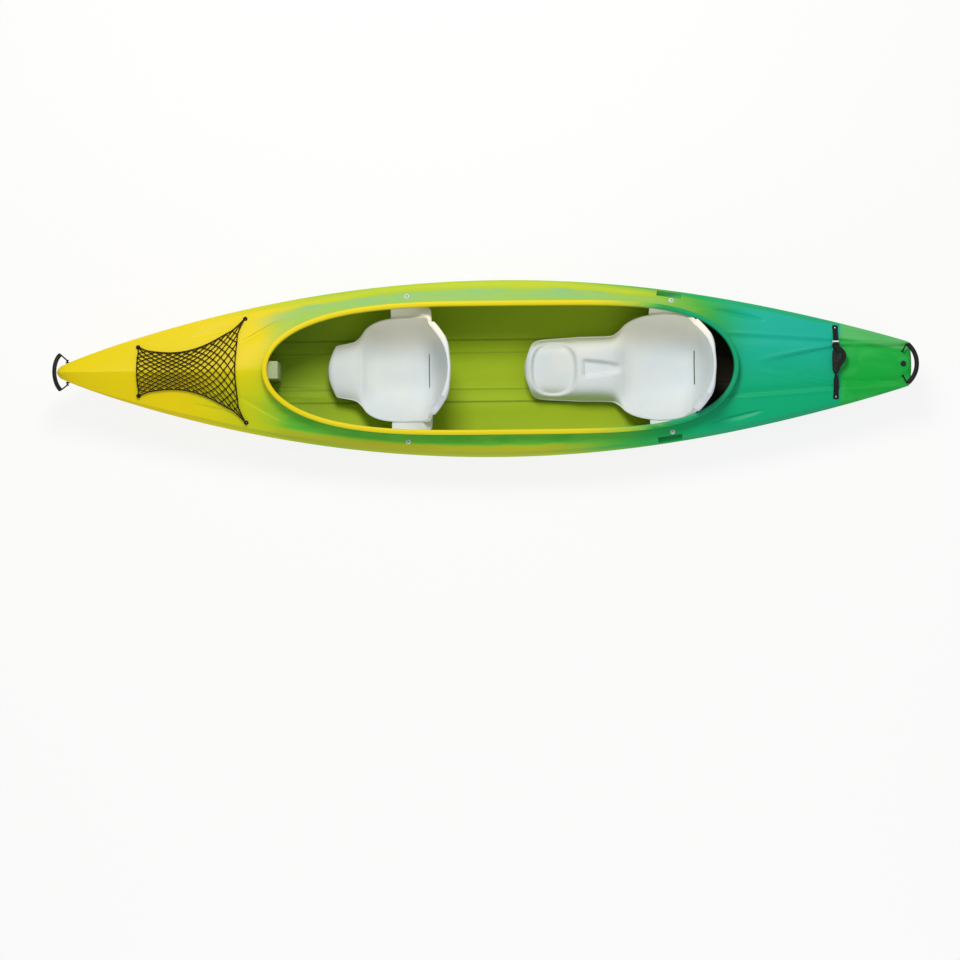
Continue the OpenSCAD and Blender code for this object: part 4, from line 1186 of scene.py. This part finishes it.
# %% Cord finish
def braid_finish(name, dark, light, pitch):
    """Two sets of strands that wind opposite ways round the cord."""
    made, shader, at = new_finish(name, dark, Roughness=0.85, Specular_IOR_Level=0.2)
    uv = at.node("UVMap", {"uv_map": "cord_uv"})
    u, w, _ = uv.axes()
    first = (u * pitch + w * (4 * math.pi)).wave()
    second = (u * pitch - w * (4 * math.pi)).wave()
    strand = first.math("MAXIMUM", first, second) * 0.5 + 0.5
    fuzz = at.noise(1400.0, 2.0, 0.6)
    feed(
        shader,
        Base_Color=(strand * 0.6 + fuzz * 0.4).tint(dark, light),
        Roughness=fuzz * 0.2 + 0.7,
        Normal=bump(strand + fuzz * 0.3, 0.0006, 0.7),
    )
    return made


net_finish = braid_finish("net_cord", "#0c0805", "#22180f", 1800.0)
rope_finish = braid_finish("carry_cord", "#0a0a0a", "#242220", 1500.0)
place(net, "hull", "cord", net_finish, "deck_net")

# %% [markdown]
# ## Carry handles
# Each end has a loop of cord with a piece of black hose over it to hold. The hose is cut from ribbed tube,
# so fine rings run round it, and its ends are square-cut with the cord coming out of the bore.
# The loops turn about the cord in their holes, so hose and cord ride on the handle's own body.
# Where a cord leaves its hole it bends round a corner, because cord can't be creased.

# %% Handle helpers
CORD_R, CORD_SIDES, BORE_R = 3.4, 12, 3.9
HOSE_STEPS, HOSE_SIDES = 241, 28


def arc_path(radius, centre, angle, count=41):
    """A bend in its own plane: x forward of the pivot, y across."""
    turn = np.linspace(-angle, angle, count)
    return np.stack([centre + radius * np.cos(turn), radius * np.sin(turn), np.zeros(count)], -1)


def lean_of(points, at, tilt):
    """Turns a flat loop about the Y axis and carries it to its pivot."""
    cos, sin = math.cos(math.radians(tilt)), math.sin(math.radians(tilt))
    x, y, z = points.T
    return np.stack([at[0] + x * cos + z * sin, at[1] + y, at[2] - x * sin + z * cos], -1)


def rounded(points, corner, leg=9.0):
    """Rounds one corner of a path with a bend that starts and ends a leg away from it."""
    far = travelled(points)
    ends = far[corner] - leg, far[corner] + leg
    a, b = (np.array([np.interp(end, far, points[:, k]) for k in range(3)]) for end in ends)
    h = np.linspace(0, 1, 9)[:, None]
    bend = a * (1 - h) ** 2 + 2 * points[corner] * h * (1 - h) + b * h**2
    return np.concatenate([points[far < ends[0]], bend, points[far > ends[1]]])


def hose(name, path, outer):
    """A ribbed hose: an outer skin with shallow rings, square ends and a real bore."""
    step = np.arange(HOSE_STEPS)
    fine = np.linspace(0, len(path) - 1, HOSE_STEPS)
    line = np.stack([np.interp(fine, np.arange(len(path)), path[:, k]) for k in range(3)], -1)
    rib = 0.35 * np.sin(step * np.pi / 2.0)
    soft = np.minimum(1, np.minimum(step, step[::-1]) / 3)
    rings = []
    for radius in ((outer + rib) * (0.93 + 0.07 * soft), BORE_R):
        skin = tube(name + "_skin", line, radius, HOSE_SIDES)
        points = np.array([v.co for v in skin.data.vertices])
        rings.append(points.reshape(HOSE_STEPS, HOSE_SIDES, 3) * 1000)
        bpy.data.objects.remove(skin)
    round_trip = np.concatenate([rings[0], rings[1][::-1], rings[0][:1]])
    made = mesh_from(name, round_trip.reshape(-1, 3), grid_faces(*round_trip.shape[:2], close=True))
    return done(made, 50)


def carry_loop(name, at, tilt, half, sag, start_x, foot, outer):
    """A handle's hose and cord: a bend, and straight legs back to the cord's two feet."""
    radius = (half**2 + sag**2) / (2 * sag)
    angle = math.asin(half / radius)
    centre = start_x + sag - radius
    grip = hose(name + "_hose", lean_of(arc_path(radius, centre, angle), at, tilt), outer)
    bend = arc_path(radius, centre, angle + math.radians(3), 49)
    legs = []
    for sign, end in ((-1, bend[0]), (1, bend[-1])):
        legs.append(np.array([mix(np.array([0.0, sign * foot, 0.0]), end, k / 8) for k in range(8)]))
    loop = np.concatenate([legs[0], bend, legs[1][::-1]])
    loop = rounded(rounded(loop, len(loop) - 9), 8)
    route = lean_of(loop, at, tilt)
    return grip, route, done(tube(name + "_carry_rope", route, CORD_R, CORD_SIDES), 60)


def knot_ring(name, at, major, minor, turn=(0, 0, 0)):
    """A turn of cord drawn tight, in millimetres."""
    bpy.ops.object.select_all(action="DESELECT")
    bpy.ops.mesh.primitive_torus_add(
        major_radius=major / 1000, minor_radius=minor / 1000, major_segments=24, minor_segments=12,
        location=[v / 1000 for v in at], rotation=turn,
    )
    return start(name)


print("handle helpers ready")

# %% Bow handle
BOW_TILT = -119.0
BOW_OUT = float(gun_half(np.array(BOW_AT[0]))) + 15
bow_hose, bow_route, bow_rope = carry_loop("bow", BOW_AT, BOW_TILT, 82, 46, 60, BOW_OUT, 10.0)
pin_y = np.linspace(-BOW_OUT - 2, BOW_OUT + 2, 14)
pin = [tube("bow_pin_rope", [(BOW_AT[0], y, BOW_AT[2]) for y in pin_y], CORD_R, CORD_SIDES)]
for sign in (-1, 1):
    knot_at = (BOW_AT[0], sign * (BOW_OUT + 1.0), BOW_AT[2])
    pin.append(knot_ring("bow_knot", knot_at, 4.2, 3.0, (math.pi / 2, 0, 0.3 * sign)))
bow_pin = done(joined("bow_pin_rope", pin), 60)
report(bow_pin)

# %% Stern handle
stern_hose, stern_route, stern_rope = carry_loop("stern", STERN_AT, 0.0, 92, 42, 24, STERN_FOOT, 11.0)
ends = []
for sign in (-1, 1):
    bpy.ops.object.select_all(action="DESELECT")
    turn_at = [v / 1000 for v in (STERN_AT[0], sign * STERN_FOOT, STERN_AT[2])]
    bpy.ops.mesh.primitive_uv_sphere_add(segments=20, ring_count=12, radius=0.0044, location=turn_at)
    ends.append(start("stern_turn"))
    ends[-1].scale = (1.0, 1.05, 0.95)
stern_turns = done(joined("stern_rope_turns", ends), 60)
tail_z = np.linspace(244, 278, 10)
tails = [
    tube("stern_tail", [(STERN_AT[0], sign * STERN_FOOT, z) for z in tail_z], CORD_R, CORD_SIDES)
    for sign in (-1, 1)
]
tails += [knot_ring("stern_knot", (STERN_AT[0], sign * STERN_FOOT, 253.5), 4.8, 3.4) for sign in (-1, 1)]
stern_tails = done(joined("stern_rope_tails", tails), 60)
report(stern_tails)

# %% [markdown]
# ## Hose rubber
# The hose is black rubber with a satin skin: slightly grey where it is rubbed, with dust in the rings.

# %% Hose finish
hose_finish, hose_shader, place_at = new_finish(
    "hose_rubber", "#101010", Roughness=0.5, Specular_IOR_Level=0.3
)
dust = place_at.noise(30.0, 4.0, 0.6)
pores = place_at.noise(900.0, 2.0, 0.5)
feed(
    hose_shader,
    Base_Color=dust.between(0.45, 0.8).tint("#0b0b0b", "#1e1f1f"),
    Roughness=dust * 0.25 + 0.36,
    Normal=bump(pores, 0.0004, 0.4),
)
place(bow_hose, "bow_handle", "black_rubber", hose_finish, "bow_grip")
place(bow_rope, "bow_handle", "cord", rope_finish, "bow_cord")
place(bow_pin, "bow_handle", "cord", rope_finish, "bow_cross_cord")
place(stern_hose, "stern_handle", "black_rubber", hose_finish, "stern_grip")
place(stern_rope, "stern_handle", "cord", rope_finish, "stern_cord")
place(stern_turns, "stern_handle", "cord", rope_finish)
place(stern_tails, "hull", "cord", rope_finish, "stern_beads")
for rope, route, parts in (
    (bow_rope, bow_route, [bow_hose, bow_pin]),
    (stern_rope, stern_route, [stern_hose, stern_turns]),
):
    tuple(route[0] / 1000)
    [tuple(p / 1000) for p in route]

# %% [markdown]
# ## Strap
# A flat polyester strap crosses the tray in the aft deck, screwed down at both sides. Webbing is modelled
# directly as a thin ribbon with rounded selvedges, and its weave comes from a UV map that runs along the
# strap. The port half turns on edge at the buckle.
# The starboard half's free tail swings out beside the buckle and ends in a tapered point.

# %% Strap helpers
STRAP_X, BUCKLE_Z, STRAP_T, STRAP_W = 1663.0, 288.0, 2.0, 25.0
STRAP_TOP = 2.4 - 1.5 + 0.06 + STRAP_T
STRAP_ENDS = (173.0, 153.0)


def ribbon(name, centre, across, wide=STRAP_W):
    """A flat strap along centre points, across gives its width's direction at each point."""
    centre, across = np.asarray(centre, float), unit(np.asarray(across, float))
    wide = np.broadcast_to(np.asarray(wide, float), (len(centre),))
    ahead = unit(np.gradient(centre, axis=0))
    up = unit(np.cross(across, ahead))
    side = np.array([-1, -0.97, -0.9, -0.6, -0.3, 0, 0.3, 0.6, 0.9, 0.97, 1.0])
    crown = STRAP_T / 2 * np.array([0.25, 0.75, 1, 0.92, 0.92, 0.92, 0.92, 0.92, 1, 0.75, 0.25])
    loop = np.concatenate([np.stack([side, crown], -1), np.stack([side[::-1], -crown[::-1]], -1)])
    rings = (
        centre[:, None]
        + (loop[None, :, 0] * wide[:, None] / 2)[:, :, None] * across[:, None]
        + loop[:, 1][None, :, None] * up[:, None]
    )
    rows, cols = rings.shape[:2]
    faces = grid_faces(rows, cols, close=True)
    faces += [tuple(range(cols))[::-1], tuple((rows - 1) * cols + k for k in range(cols))]
    obj = mesh_from(name, rings.reshape(-1, 3), faces)
    uv = obj.data.uv_layers.new(name="cord_uv")
    travel = travelled(centre) / 1000
    for item in obj.data.loops:
        ring, k = divmod(item.vertex_index, cols)
        uv.data[item.index].uv = (travel[ring], (loop[k, 0] * wide[ring] / 2) / 1000)
    return obj


def strap_z(y):
    """Height of the strap's top face: level at the buckle, then down to the plate on the deck."""
    y = np.asarray(y, float)
    end = np.where(y > 0, STRAP_ENDS[0], STRAP_ENDS[1])
    sign = np.where(y > 0, 1.0, -1.0)
    at = STRAP_X + 0 * y, sign * end
    tilt, slope = deck_slope(*at)
    on_plate = bare_deck(*at) + STRAP_TOP * np.sqrt(slope**2 + tilt**2 + 1) + slope * (y - at[1])
    return mix(BUCKLE_Z + STRAP_T / 2, on_plate, ease((abs(y) - end + 60) / 44))


print("strap ends at", STRAP_ENDS, "mm from the middle")

# %% Strap halves and tail
y_a = np.linspace(62, STRAP_ENDS[0] + 12, 40)
starboard = ribbon(
    "strap_starboard_web",
    np.stack([0 * y_a + STRAP_X, y_a, strap_z(y_a) - STRAP_T / 2], -1),
    np.tile([1.0, 0, 0], (len(y_a), 1)),
)
y_b = np.linspace(-STRAP_ENDS[1] - 12, -34, 48)
turn = np.radians(72) * ease((-34 - y_b) / 11) * ease((y_b + 88) / 40)
port = ribbon(
    "strap_port_web",
    np.stack([0 * y_b + STRAP_X, y_b, strap_z(y_b) - STRAP_T / 2], -1),
    np.stack([np.cos(turn), 0 * turn, np.sin(turn)], -1),
)
TAIL = [
    (2, 90, 6.6), (5, 80, 10), (14, 71, 14), (26, 60, 17), (34, 46, 19), (34, 30, 19.5),
    (27, 13, 18.5), (18, -4, 16), (10, -19, 13.5), (4, -32, 12),
]
tail_path = through(TAIL, 6)
run = unit(np.gradient(tail_path, axis=0))
far = np.linspace(0, 1, len(tail_path))
tail_side = np.stack([-run[:, 1], run[:, 0], 0.25 * ease((far - 0.5) * 3)], -1)
tail = ribbon(
    "strap_tail_web",
    tail_path + np.array([STRAP_X, 0, BUCKLE_Z - 1]),
    tail_side,
    wide=STRAP_W - 15 * ease((far - 0.55) / 0.45),
)
for piece in (starboard, port, tail):
    report(done(piece, 40))

# %% [markdown]
# ## Webbing
# Strap webbing has ribs across it and a herringbone along it. Both come from sines of the strap's own UV
# map.

# %% Webbing finish
web_finish, web_shader, place_at = new_finish(
    "woven_strap", "#0c0c0d", Roughness=0.8, Specular_IOR_Level=0.25
)
u, w, _ = place_at.node("UVMap", {"uv_map": "cord_uv"}).axes()
slant = (w * 1256.0).wave().size()
warp = (u * 3100.0 + slant * 3.0).wave() * 0.5 + 0.5
weft = (w * 2600.0).wave() * 0.5 + 0.5
weave = warp * 0.6 + weft * 0.4
lint = place_at.noise(700.0, 3.0, 0.6)
feed(
    web_shader,
    Base_Color=(weave * 0.55 + lint * 0.35).tint("#080809", "#242526"),
    Roughness=lint * 0.2 + 0.66,
    Normal=bump(weave + lint * 0.25, 0.0005, 0.8),
)
place(starboard, "hull", "webbing", web_finish, "strap_starboard")
place(tail, "hull", "webbing", web_finish, "strap_tail")
place(port, "hull", "webbing", web_finish, "strap_port")
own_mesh(port)

# %% [markdown]
# ## Turned fittings
# Washers, screw heads, beads, eyes and the drain are round. A lathe is the natural tool: a profile of
# radius and height is drawn as an open line and the spin operator turns it into a body. Each is modelled
# once, at the origin, and copies are then set on the deck along its slope.

# %% Lathe and deck helpers
def turned(name, profile, steps=48):
    """A body of revolution from (radius, height) points in millimetres."""
    data = bpy.data.meshes.new(name)
    line = [(r / 1000, 0, z / 1000) for r, z in profile]
    data.from_pydata(line, [(k, k + 1) for k in range(len(line) - 1)], [])
    obj = bpy.data.objects.new(name, data)
    bpy.context.collection.objects.link(obj)
    alone(obj)
    bpy.ops.object.mode_set(mode="EDIT")
    bpy.ops.mesh.select_all(action="SELECT")
    bpy.ops.mesh.spin(steps=steps, angle=2 * math.pi, center=(0, 0, 0), axis=(0, 0, 1))
    bpy.ops.object.mode_set(mode="OBJECT")
    return settle(obj)


def deck_frame(x, y, lift=0.0, turn=0.0):
    """Where a fitting stands on the deck, with its axis along the deck's normal."""
    sx, sy = (float(rise) for rise in deck_slope(np.array(x), np.array(y)))
    normal = Vector((-sx, -sy, 1)).normalized()
    tilt = Vector((0, 0, 1)).rotation_difference(normal).to_matrix().to_4x4()
    spot = Vector((x, y, float(bare_deck(np.array(x), np.array(y))))) + normal * lift
    return Matrix.Translation(spot / 1000) @ tilt @ Matrix.Rotation(math.radians(turn), 4, "Z")


def repeat(name, model, frames, angle):
    """Copies of a model, each with its own mesh, set in their frames, joined and smoothed."""
    pieces = []
    for frame_at in frames:
        twin = bpy.data.objects.new(name, model.data.copy())
        bpy.context.collection.objects.link(twin)
        pieces.append(stood(twin, frame_at))
    bpy.data.objects.remove(model)
    made = joined(name, pieces)
    smooth(made, angle)
    return made


def disc_profile(radius, height, soft):
    """Profile of a disc with a rounded upper rim, without the points on its axis."""
    arc = [
        (radius - soft + soft * math.cos(a), height - soft + soft * math.sin(a))
        for a in np.radians(range(0, 91, 15))
    ]
    return [(radius - 0.3, 0.0), (radius, 0.3)] + arc


SPOT = 1.5
BOLTS = [(x, sign * y) for x, y in ((-369.0, 345.3), (886.0, 312.4)) for sign in (1, -1)]
EYES = [
    (x, sign * y, sign * turn)
    for x, y, turn in ((-1641.0, 115.0, 127.0), (-1135.0, 246.0, 60.0))
    for sign in (1, -1)
]
PLATES = [(STRAP_X, STRAP_ENDS[0]), (STRAP_X, -STRAP_ENDS[1])]
print("places for bolts, eyes and plates:", len(BOLTS), len(EYES), len(PLATES))

# %% [markdown]
# ## Nylon, steel, rubber and foam
# The small parts share a few finishes. Moulded nylon has a fine spark-eroded grain and goes grey on its
# edges, stainless steel shows turning marks, rubber is dull, and closed-cell foam is a field of tiny burst
# cells.

# %% Small finishes
def moulded_finish(name, dark, light, rough):
    """Grained plastic or rubber, lighter where it is rubbed."""
    made, shader, at = new_finish(name, dark, Roughness=rough, Specular_IOR_Level=0.35)
    grain = at.noise(2200.0, 2.0, 0.6)
    wear = at.noise(45.0, 4.0, 0.6)
    feed(
        shader,
        Base_Color=(wear.between(0.4, 0.75) * 0.7 + grain * 0.3).tint(dark, light),
        Roughness=grain * 0.14 + wear * 0.16 + (rough - 0.14),
        Normal=bump(grain + wear * 0.4, 0.0004, 0.35),
    )
    return made


black_nylon = moulded_finish("black_nylon", "#0b0b0c", "#202123", 0.46)
white_nylon = moulded_finish("white_nylon", "#eceeee", "#d9dbd8", 0.42)
ring_rubber = moulded_finish("ring_rubber", "#151515", "#272726", 0.72)

steel_finish, steel_shader, place_at = new_finish("stainless_steel", "#b9bcc0", Metallic=1.0, Roughness=0.3)
swirl = place_at.stretched((1.0, 1.0, 6.0)).noise(700.0, 3.0, 0.6)
tarnish = place_at.noise(160.0, 3.0, 0.5)
feed(
    steel_shader,
    Base_Color=tarnish.between(0.35, 0.75).tint("#c6c8ca", "#8f9296"),
    Roughness=swirl * 0.2 + 0.2,
    Normal=bump(swirl, 0.0002, 0.3),
)

foam_finish, foam_shader, place_at = new_finish("closed_cell_foam", "#ccd5c4", Roughness=0.85)
cells = place_at.node("TexVoronoi", {"feature": "F1"}, {"Vector": place_at, "Scale": 420.0})
layers = place_at.stretched((1.0, 1.0, 30.0)).noise(3.0, 3.0, 0.5)
dirt = place_at.noise(18.0, 4.0, 0.6)
# Painted shade: both foam colours are kept darker and greener, for the shade the foam stands in under the
# decks.
feed(
    foam_shader,
    Base_Color=(dirt.between(0.4, 0.8) * 0.5 + layers * 0.3).tint("#a9b78a", "#8f9d74"),
    Roughness=cells * 0.15 + 0.76,
    Normal=bump(cells + layers * 0.6, 0.0012, 0.5),
)
small_finishes = (black_nylon, white_nylon, ring_rubber, steel_finish, foam_finish)
print("small finishes:", [finish.name for finish in small_finishes])

# %% [markdown]
# ## Seat bolts
# Each seat hangs from two bolts through the side decks. On top of the deck lies a white nylon cup washer,
# and a button head with a hexagon socket sits in it. The washer is dished, so its rim catches the light.

# %% Seat bolts and washers
CUP = [
    (4.4, 0.0), (11.2, 0.0), (11.5, 0.4), (11.4, 1.6), (10.8, 2.6), (9.8, 3.0), (8.6, 2.8),
    (7.6, 2.2), (4.4, 2.0), (4.4, 0.0),
]
HEAD = [
    (0, -26.5), (4.0, -26.5), (4.0, 1.6), (7.0, 1.6), (7.0, 2.3), (6.6, 3.6), (5.6, 4.8),
    (4.2, 5.6), (2.0, 6.0), (0, 6.1),
]
on_deck_at = [deck_frame(x, y, 0.05 - SPOT) for x, y in BOLTS]
washers = repeat("cup_washers", turned("cup", CUP), on_deck_at, 50)
place(washers, "hull", "white_plastic", white_nylon, "seat_washers")
head = cut(turned("head", HEAD, 36), rod(2.6, 5.0, (0, 0, 6.0), 6))
bolts = repeat("button_bolts", head, [deck_frame(x, y, 0.05, 20 * k) for k, (x, y) in enumerate(BOLTS)], 40)
place(bolts, "hull", "steel", steel_finish, "seat_bolts")

# %% [markdown]
# ## Net eyes
# The corners of the net are hooked under small black eyes: a round foot, screwed to the deck, with an arch
# over it.

# %% Eyes and their screws
ARCH_R, ARCH_WIRE = 8.6, 1.8
eyes = []
for k, (x, y, turn) in enumerate(EYES):
    post = 6.5 if k < 2 else 5.2
    rim = disc_profile(11.0, 3.5, 1.4)
    foot = turned("foot", [(2.1, 0.0)] + rim + [(4.6, 3.5), (2.1, 3.2), (2.1, 0.0)], 40)
    half_turn = np.radians(np.arange(0, 181, 12))
    arch_line = [(ARCH_R, 0, 1.0), (ARCH_R, 0, post * 0.6)]
    arch_line += [(ARCH_R * math.cos(a), 0, post + ARCH_R * math.sin(a)) for a in half_turn]
    arch_line += [(-ARCH_R, 0, post * 0.6), (-ARCH_R, 0, 1.0)]
    arch = tube("arch", arch_line, ARCH_WIRE, 14)
    for p in arch.data.vertices:
        p.co = (p.co.y, p.co.x, p.co.z)
    made = settle(joined("eye", [foot, arch]))
    eyes.append(stood(made, deck_frame(x, y, 0.02 - SPOT, turn)))
net_eyes = joined("net_hooks", eyes)
smooth(net_eyes, 45)
place(net_eyes, "hull", "black_plastic", black_nylon, "net_eyes")


def screw(name, wide, tall, shank, long):
    """A pan-head screw with a cross recess."""
    dome = [(wide / 2 * math.cos(a), tall * math.sin(a) ** 0.8) for a in np.radians(range(0, 91, 10))]
    stem = [(0, -long), (shank / 2, -long + 2), (shank / 2, 0), (wide / 2, 0)]
    body = turned(name, stem + dome + [(0, tall)], 32)
    slots = [brick(size, (0, 0, tall)) for size in ((wide * 0.5, 0.9, tall), (0.9, wide * 0.5, tall))]
    return cut(body, *slots)


pins = repeat(
    "hook_screws",
    screw("pin", 6.8, 1.6, 4.0, 15.0),
    [deck_frame(x, y, 3.55 - SPOT, turn) for x, y, turn in EYES],
    40,
)
place(pins, "hull", "steel", steel_finish, "net_screws")

# %% [markdown]
# ## Strap ends
# A round nylon plate spreads the load of each strap end, and a screw goes through strap, plate and deck.

# %% Strap plates and screws
disc = turned("disc", [(2.1, 0.0)] + disc_profile(14.5, 2.4, 1.1) + [(2.1, 2.4), (2.1, 0.0)])
plates = repeat("strap_discs", disc, [deck_frame(x, y, 0.02 - SPOT) for x, y in PLATES], 45)
place(plates, "hull", "black_plastic", black_nylon, "strap_plates")
strap_pins = repeat(
    "strap_pins",
    screw("strap_pin", 9.0, 2.0, 4.0, 14.0),
    [deck_frame(x, y, STRAP_TOP + 0.1, 25 + 40 * k) for k, (x, y) in enumerate(PLATES)],
    40,
)
place(strap_pins, "hull", "steel", steel_finish, "strap_screws")

# %% [markdown]
# ## Drain
# A screwed plug at the stern lets water out. Its head has a slot for a coin and finger notches round the
# rim; a rubber ring lies under it, and a flanged bush carries the thread. The plug and the ring move with
# the plug's own bodies, and the bush stays with the hull.

# %% Drain plug, ring and bush
drain_low, drain_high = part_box("drain_plug")
_, bush_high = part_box("drain_bush")
seal_low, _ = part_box("drain_seal")
plug_x = (drain_low.x + drain_high.x) / 2
KNOB = [
    (0, -18), (6.2, -18), (6.8, -17), (6.9, 0.0), (11.4, 0.0), (12.0, 0.6), (12.0, 3.4),
    (11.4, 4.5), (10.2, 5.0), (4.5, 5.0), (3.8, 4.6), (0, 4.5),
]
RING = [(7.2, 0.0), (10.6, 0.0), (11.0, 0.5), (11.0, 1.3), (10.6, 1.8), (7.2, 1.8), (7.2, 0.0)]
FLANGE = [
    (7.0, -20.0), (9.2, -20.0), (9.5, -19.5), (9.5, 0.0), (13.6, 0.0), (14.0, 0.4), (13.9, 1.4),
    (13.0, 2.0), (7.0, 2.0), (7.0, -20.0),
]
knob = turned("drain_knob", KNOB, 72)
round_rim = np.linspace(0, 2 * math.pi, 15, endpoint=False) + 0.2
notches = [rod(1.3, 12, (12.5 * math.cos(a), 12.5 * math.sin(a), 2.5), 16) for a in round_rim]
cut(knob, brick((26, 3.0, 4.0), (0, 0, 5.0)), *notches)
done(knob, 35, Matrix.Translation((plug_x, 0, drain_high.z - 0.005)))
place(knob, "plug", "black_plastic", black_nylon, "drain_plug")
ring = done(turned("ring_seal", RING), 50, Matrix.Translation((plug_x, 0, seal_low.z)))
place(ring, "plug_carrier", "black_rubber", ring_rubber, "drain_seal")
flange = done(turned("thread_bush", FLANGE), 40, Matrix.Translation((plug_x, 0, bush_high.z - 0.002)))
place(flange, "hull", "black_plastic", black_nylon, "drain_bush")

# %% [markdown]
# ## Beads and the stern tube
# Round stops keep the bow cord in its holes. At the stern a plain tube runs across the hull for a lock or a
# trolley, with a rounded mouth at each side.

# %% Beads and tube
BEAD = [(3.6, -3.0), (8.6, -3.0), (9.3, -2.3), (9.5, 0.0), (9.3, 2.3), (8.6, 3.0), (3.6, 3.0), (3.6, -3.0)]
lie = Matrix.Rotation(math.pi / 2, 4, "X")
bead_at = [Vector((BOW_AT[0], sign * (BOW_OUT - 9), BOW_AT[2])) / 1000 for sign in (-1, 1)]
beads = repeat("cord_beads", turned("bead", BEAD, 40), [Matrix.Translation(at) @ lie for at in bead_at], 45)
place(beads, "bow_handle", "black_plastic", black_nylon, "bow_beads")
lock_low, lock_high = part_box("stern_lock_bush")
half_long = (lock_high.y - lock_low.y) / 2 * 1000
mouth = [(12.5, half_long - 0.8), (11.9, half_long), (9.9, half_long), (9.0, half_long - 1)]
wall = [(radius, -height) for radius, height in mouth[::-1]] + mouth
pipe = turned("lock_pipe", wall + wall[:1])
done(pipe, 40, Matrix.Translation((lock_low + lock_high) / 2) @ lie)
place(pipe, "hull", "black_plastic", black_nylon, "stern_lock_bush")

# %% [markdown]
# ## Buckle
# A side-release buckle joins the two halves of the strap. The socket is a flat box with an open mouth and a
# window in each side, where the prongs can be squeezed; the plug carries a guide tongue and two prongs.
# Blocks are bevelled, their faces inset for the sunk panels that thin the plastic, and the windows and
# slots cut through.

# %% Buckle socket and plug
PANEL_EDGE, PANEL_DEEP, SLOT_T = 4.0, 0.8, STRAP_T + 1


def panel(obj, up):
    """Sinks a panel into the largest face that looks up or down."""
    pick(obj, "FACE", lambda at, normal: normal.z * up > 0.95)
    bpy.ops.mesh.inset(thickness=PANEL_EDGE / 1000)
    bpy.ops.transform.translate(value=(0, 0, -up * PANEL_DEEP / 1000))
    bpy.ops.object.mode_set(mode="OBJECT")


def buckle_block(size, at, end):
    """A bevelled block with a sunk panel above and below, drawn in at its strap's end."""
    made = brick(size, at)
    panel(made, 1)
    panel(made, -1)
    half, end = size[0] / 2000, end / 1000
    pick(made, "VERT", lambda at, normal: abs(abs(at.x) - half) < 1e-4 and abs(at.y - end) < 1e-4)
    bpy.ops.transform.resize(value=(0.9, 1, 1), center_override=(0, end, 0))
    bpy.ops.object.mode_set(mode="OBJECT")
    return softened(made, 1.6)


def ridges(z, places):
    return [softened(brick((22, 1.6, 1.2), (0, y, z)), 0.4, 2) for y in places]


def on_strap(y):
    return Matrix.Translation((STRAP_X / 1000, y / 1000, BUCKLE_Z / 1000))


def buckle_half(name, pieces):
    """One half of the buckle, joined and set on the strap's line."""
    made = stood(joined(name, pieces), on_strap(0))
    smooth(made, 35)
    return made


box = buckle_block((36, 54, 13), (0, 35, 0), 62)
cut(
    box,
    brick((29, 48, 6), (0, 26, 0)),
    brick((9, 18, 6), (17, 30, 0)),
    brick((9, 18, 6), (-17, 30, 0)),
    brick((28, 16, SLOT_T), (0, 56, 0)),
)
socket = buckle_half("buckle_box", [box] + ridges(5.9, (46, 50, 54)))
place(socket, "hull", "black_plastic", black_nylon, "buckle_socket")
body = buckle_block((36, 40, 11), (0, -13, 0), -33)
cut(body, brick((28, 14, SLOT_T), (0, -30, 0)))
tongue = softened(brick((9, 34, 5), (0, 23, 0)), 1.0)
prongs = []
for sign in (-1, 1):
    prongs.append(softened(brick((5, 30, 5), (sign * 11, 21, 0)), 1.0))
    prongs.append(softened(brick((5, 12, 5), (sign * 11.7, 29, 0)), 1.2))
plug = buckle_half("buckle_prongs", [body, tongue] + prongs + ridges(4.9, (-26, -22, -18)))
place(plug, "buckle", "black_plastic", black_nylon, "buckle_plug")

# %% [markdown]
# ## Slider and keeper
# The slider sets the strap's length and a white band keeps the strap's two layers together.

# %% Slider and keeper
slider = softened(brick((35, 18, 7), (0, 0, 0.5)), 1.4)
grooves = [brick((26, 3.5, 5), (0, y, 3.6)) for y in (4.6, -4.6)]
cut(slider, brick((26, 20, SLOT_T), (0, 0, 0)), *grooves)
slider.name = slider.data.name = "strap_bar"
place(done(slider, 35, on_strap(88)), "hull", "black_plastic", black_nylon, "strap_slider")
band = softened(brick((31, 7.5, 6), (0, 0, 0)), 1.1)
cut(band, brick((26, 10, SLOT_T), (0, 0, 0)))
band.name = band.data.name = "strap_band"
place(done(band, 35, on_strap(108)), "hull", "white_plastic", white_nylon, "strap_keeper")

# %% [markdown]
# ## Foam
# Blocks of closed-cell foam stand between floor and deck at both ends and keep the boat afloat. They are
# cut with a hot wire, so a copy of each solid only needs its flat faces merged and its edges eased.

# %% Foam blocks
def cut_foam(node, name):
    """A copy of a foam solid with flat faces and eased edges."""
    made = bpy.data.objects.new(name, nodes[node].data.copy())
    bpy.context.collection.objects.link(made)
    settle(made)
    bpy.ops.object.mode_set(mode="EDIT")
    bpy.ops.mesh.select_all(action="SELECT")
    bpy.ops.mesh.dissolve_limited(angle_limit=math.radians(3))
    bpy.ops.object.mode_set(mode="OBJECT")
    softened(made, 4.0, 3, 50)
    smooth(made, 35)
    place(made, "hull", "foam", foam_finish, node)


cut_foam("bow_foam_pillar", "bow_foam")
cut_foam("stern_foam_block", "stern_foam")

# %% [markdown]
# ## Hidden rings and nuts
# Below the side decks each seat ear is clamped between a rubber ring and a nut. Their solids have the right
# shape, so they stay and only take the finishes of the real ones.

# %% Rings and nuts
for node, finish in (("seat_spacers", ring_rubber), ("seat_nuts", steel_finish)):
    nodes[node].data.materials.clear()
    nodes[node].data.materials.append(finish)
    print(node, "takes", finish.name)
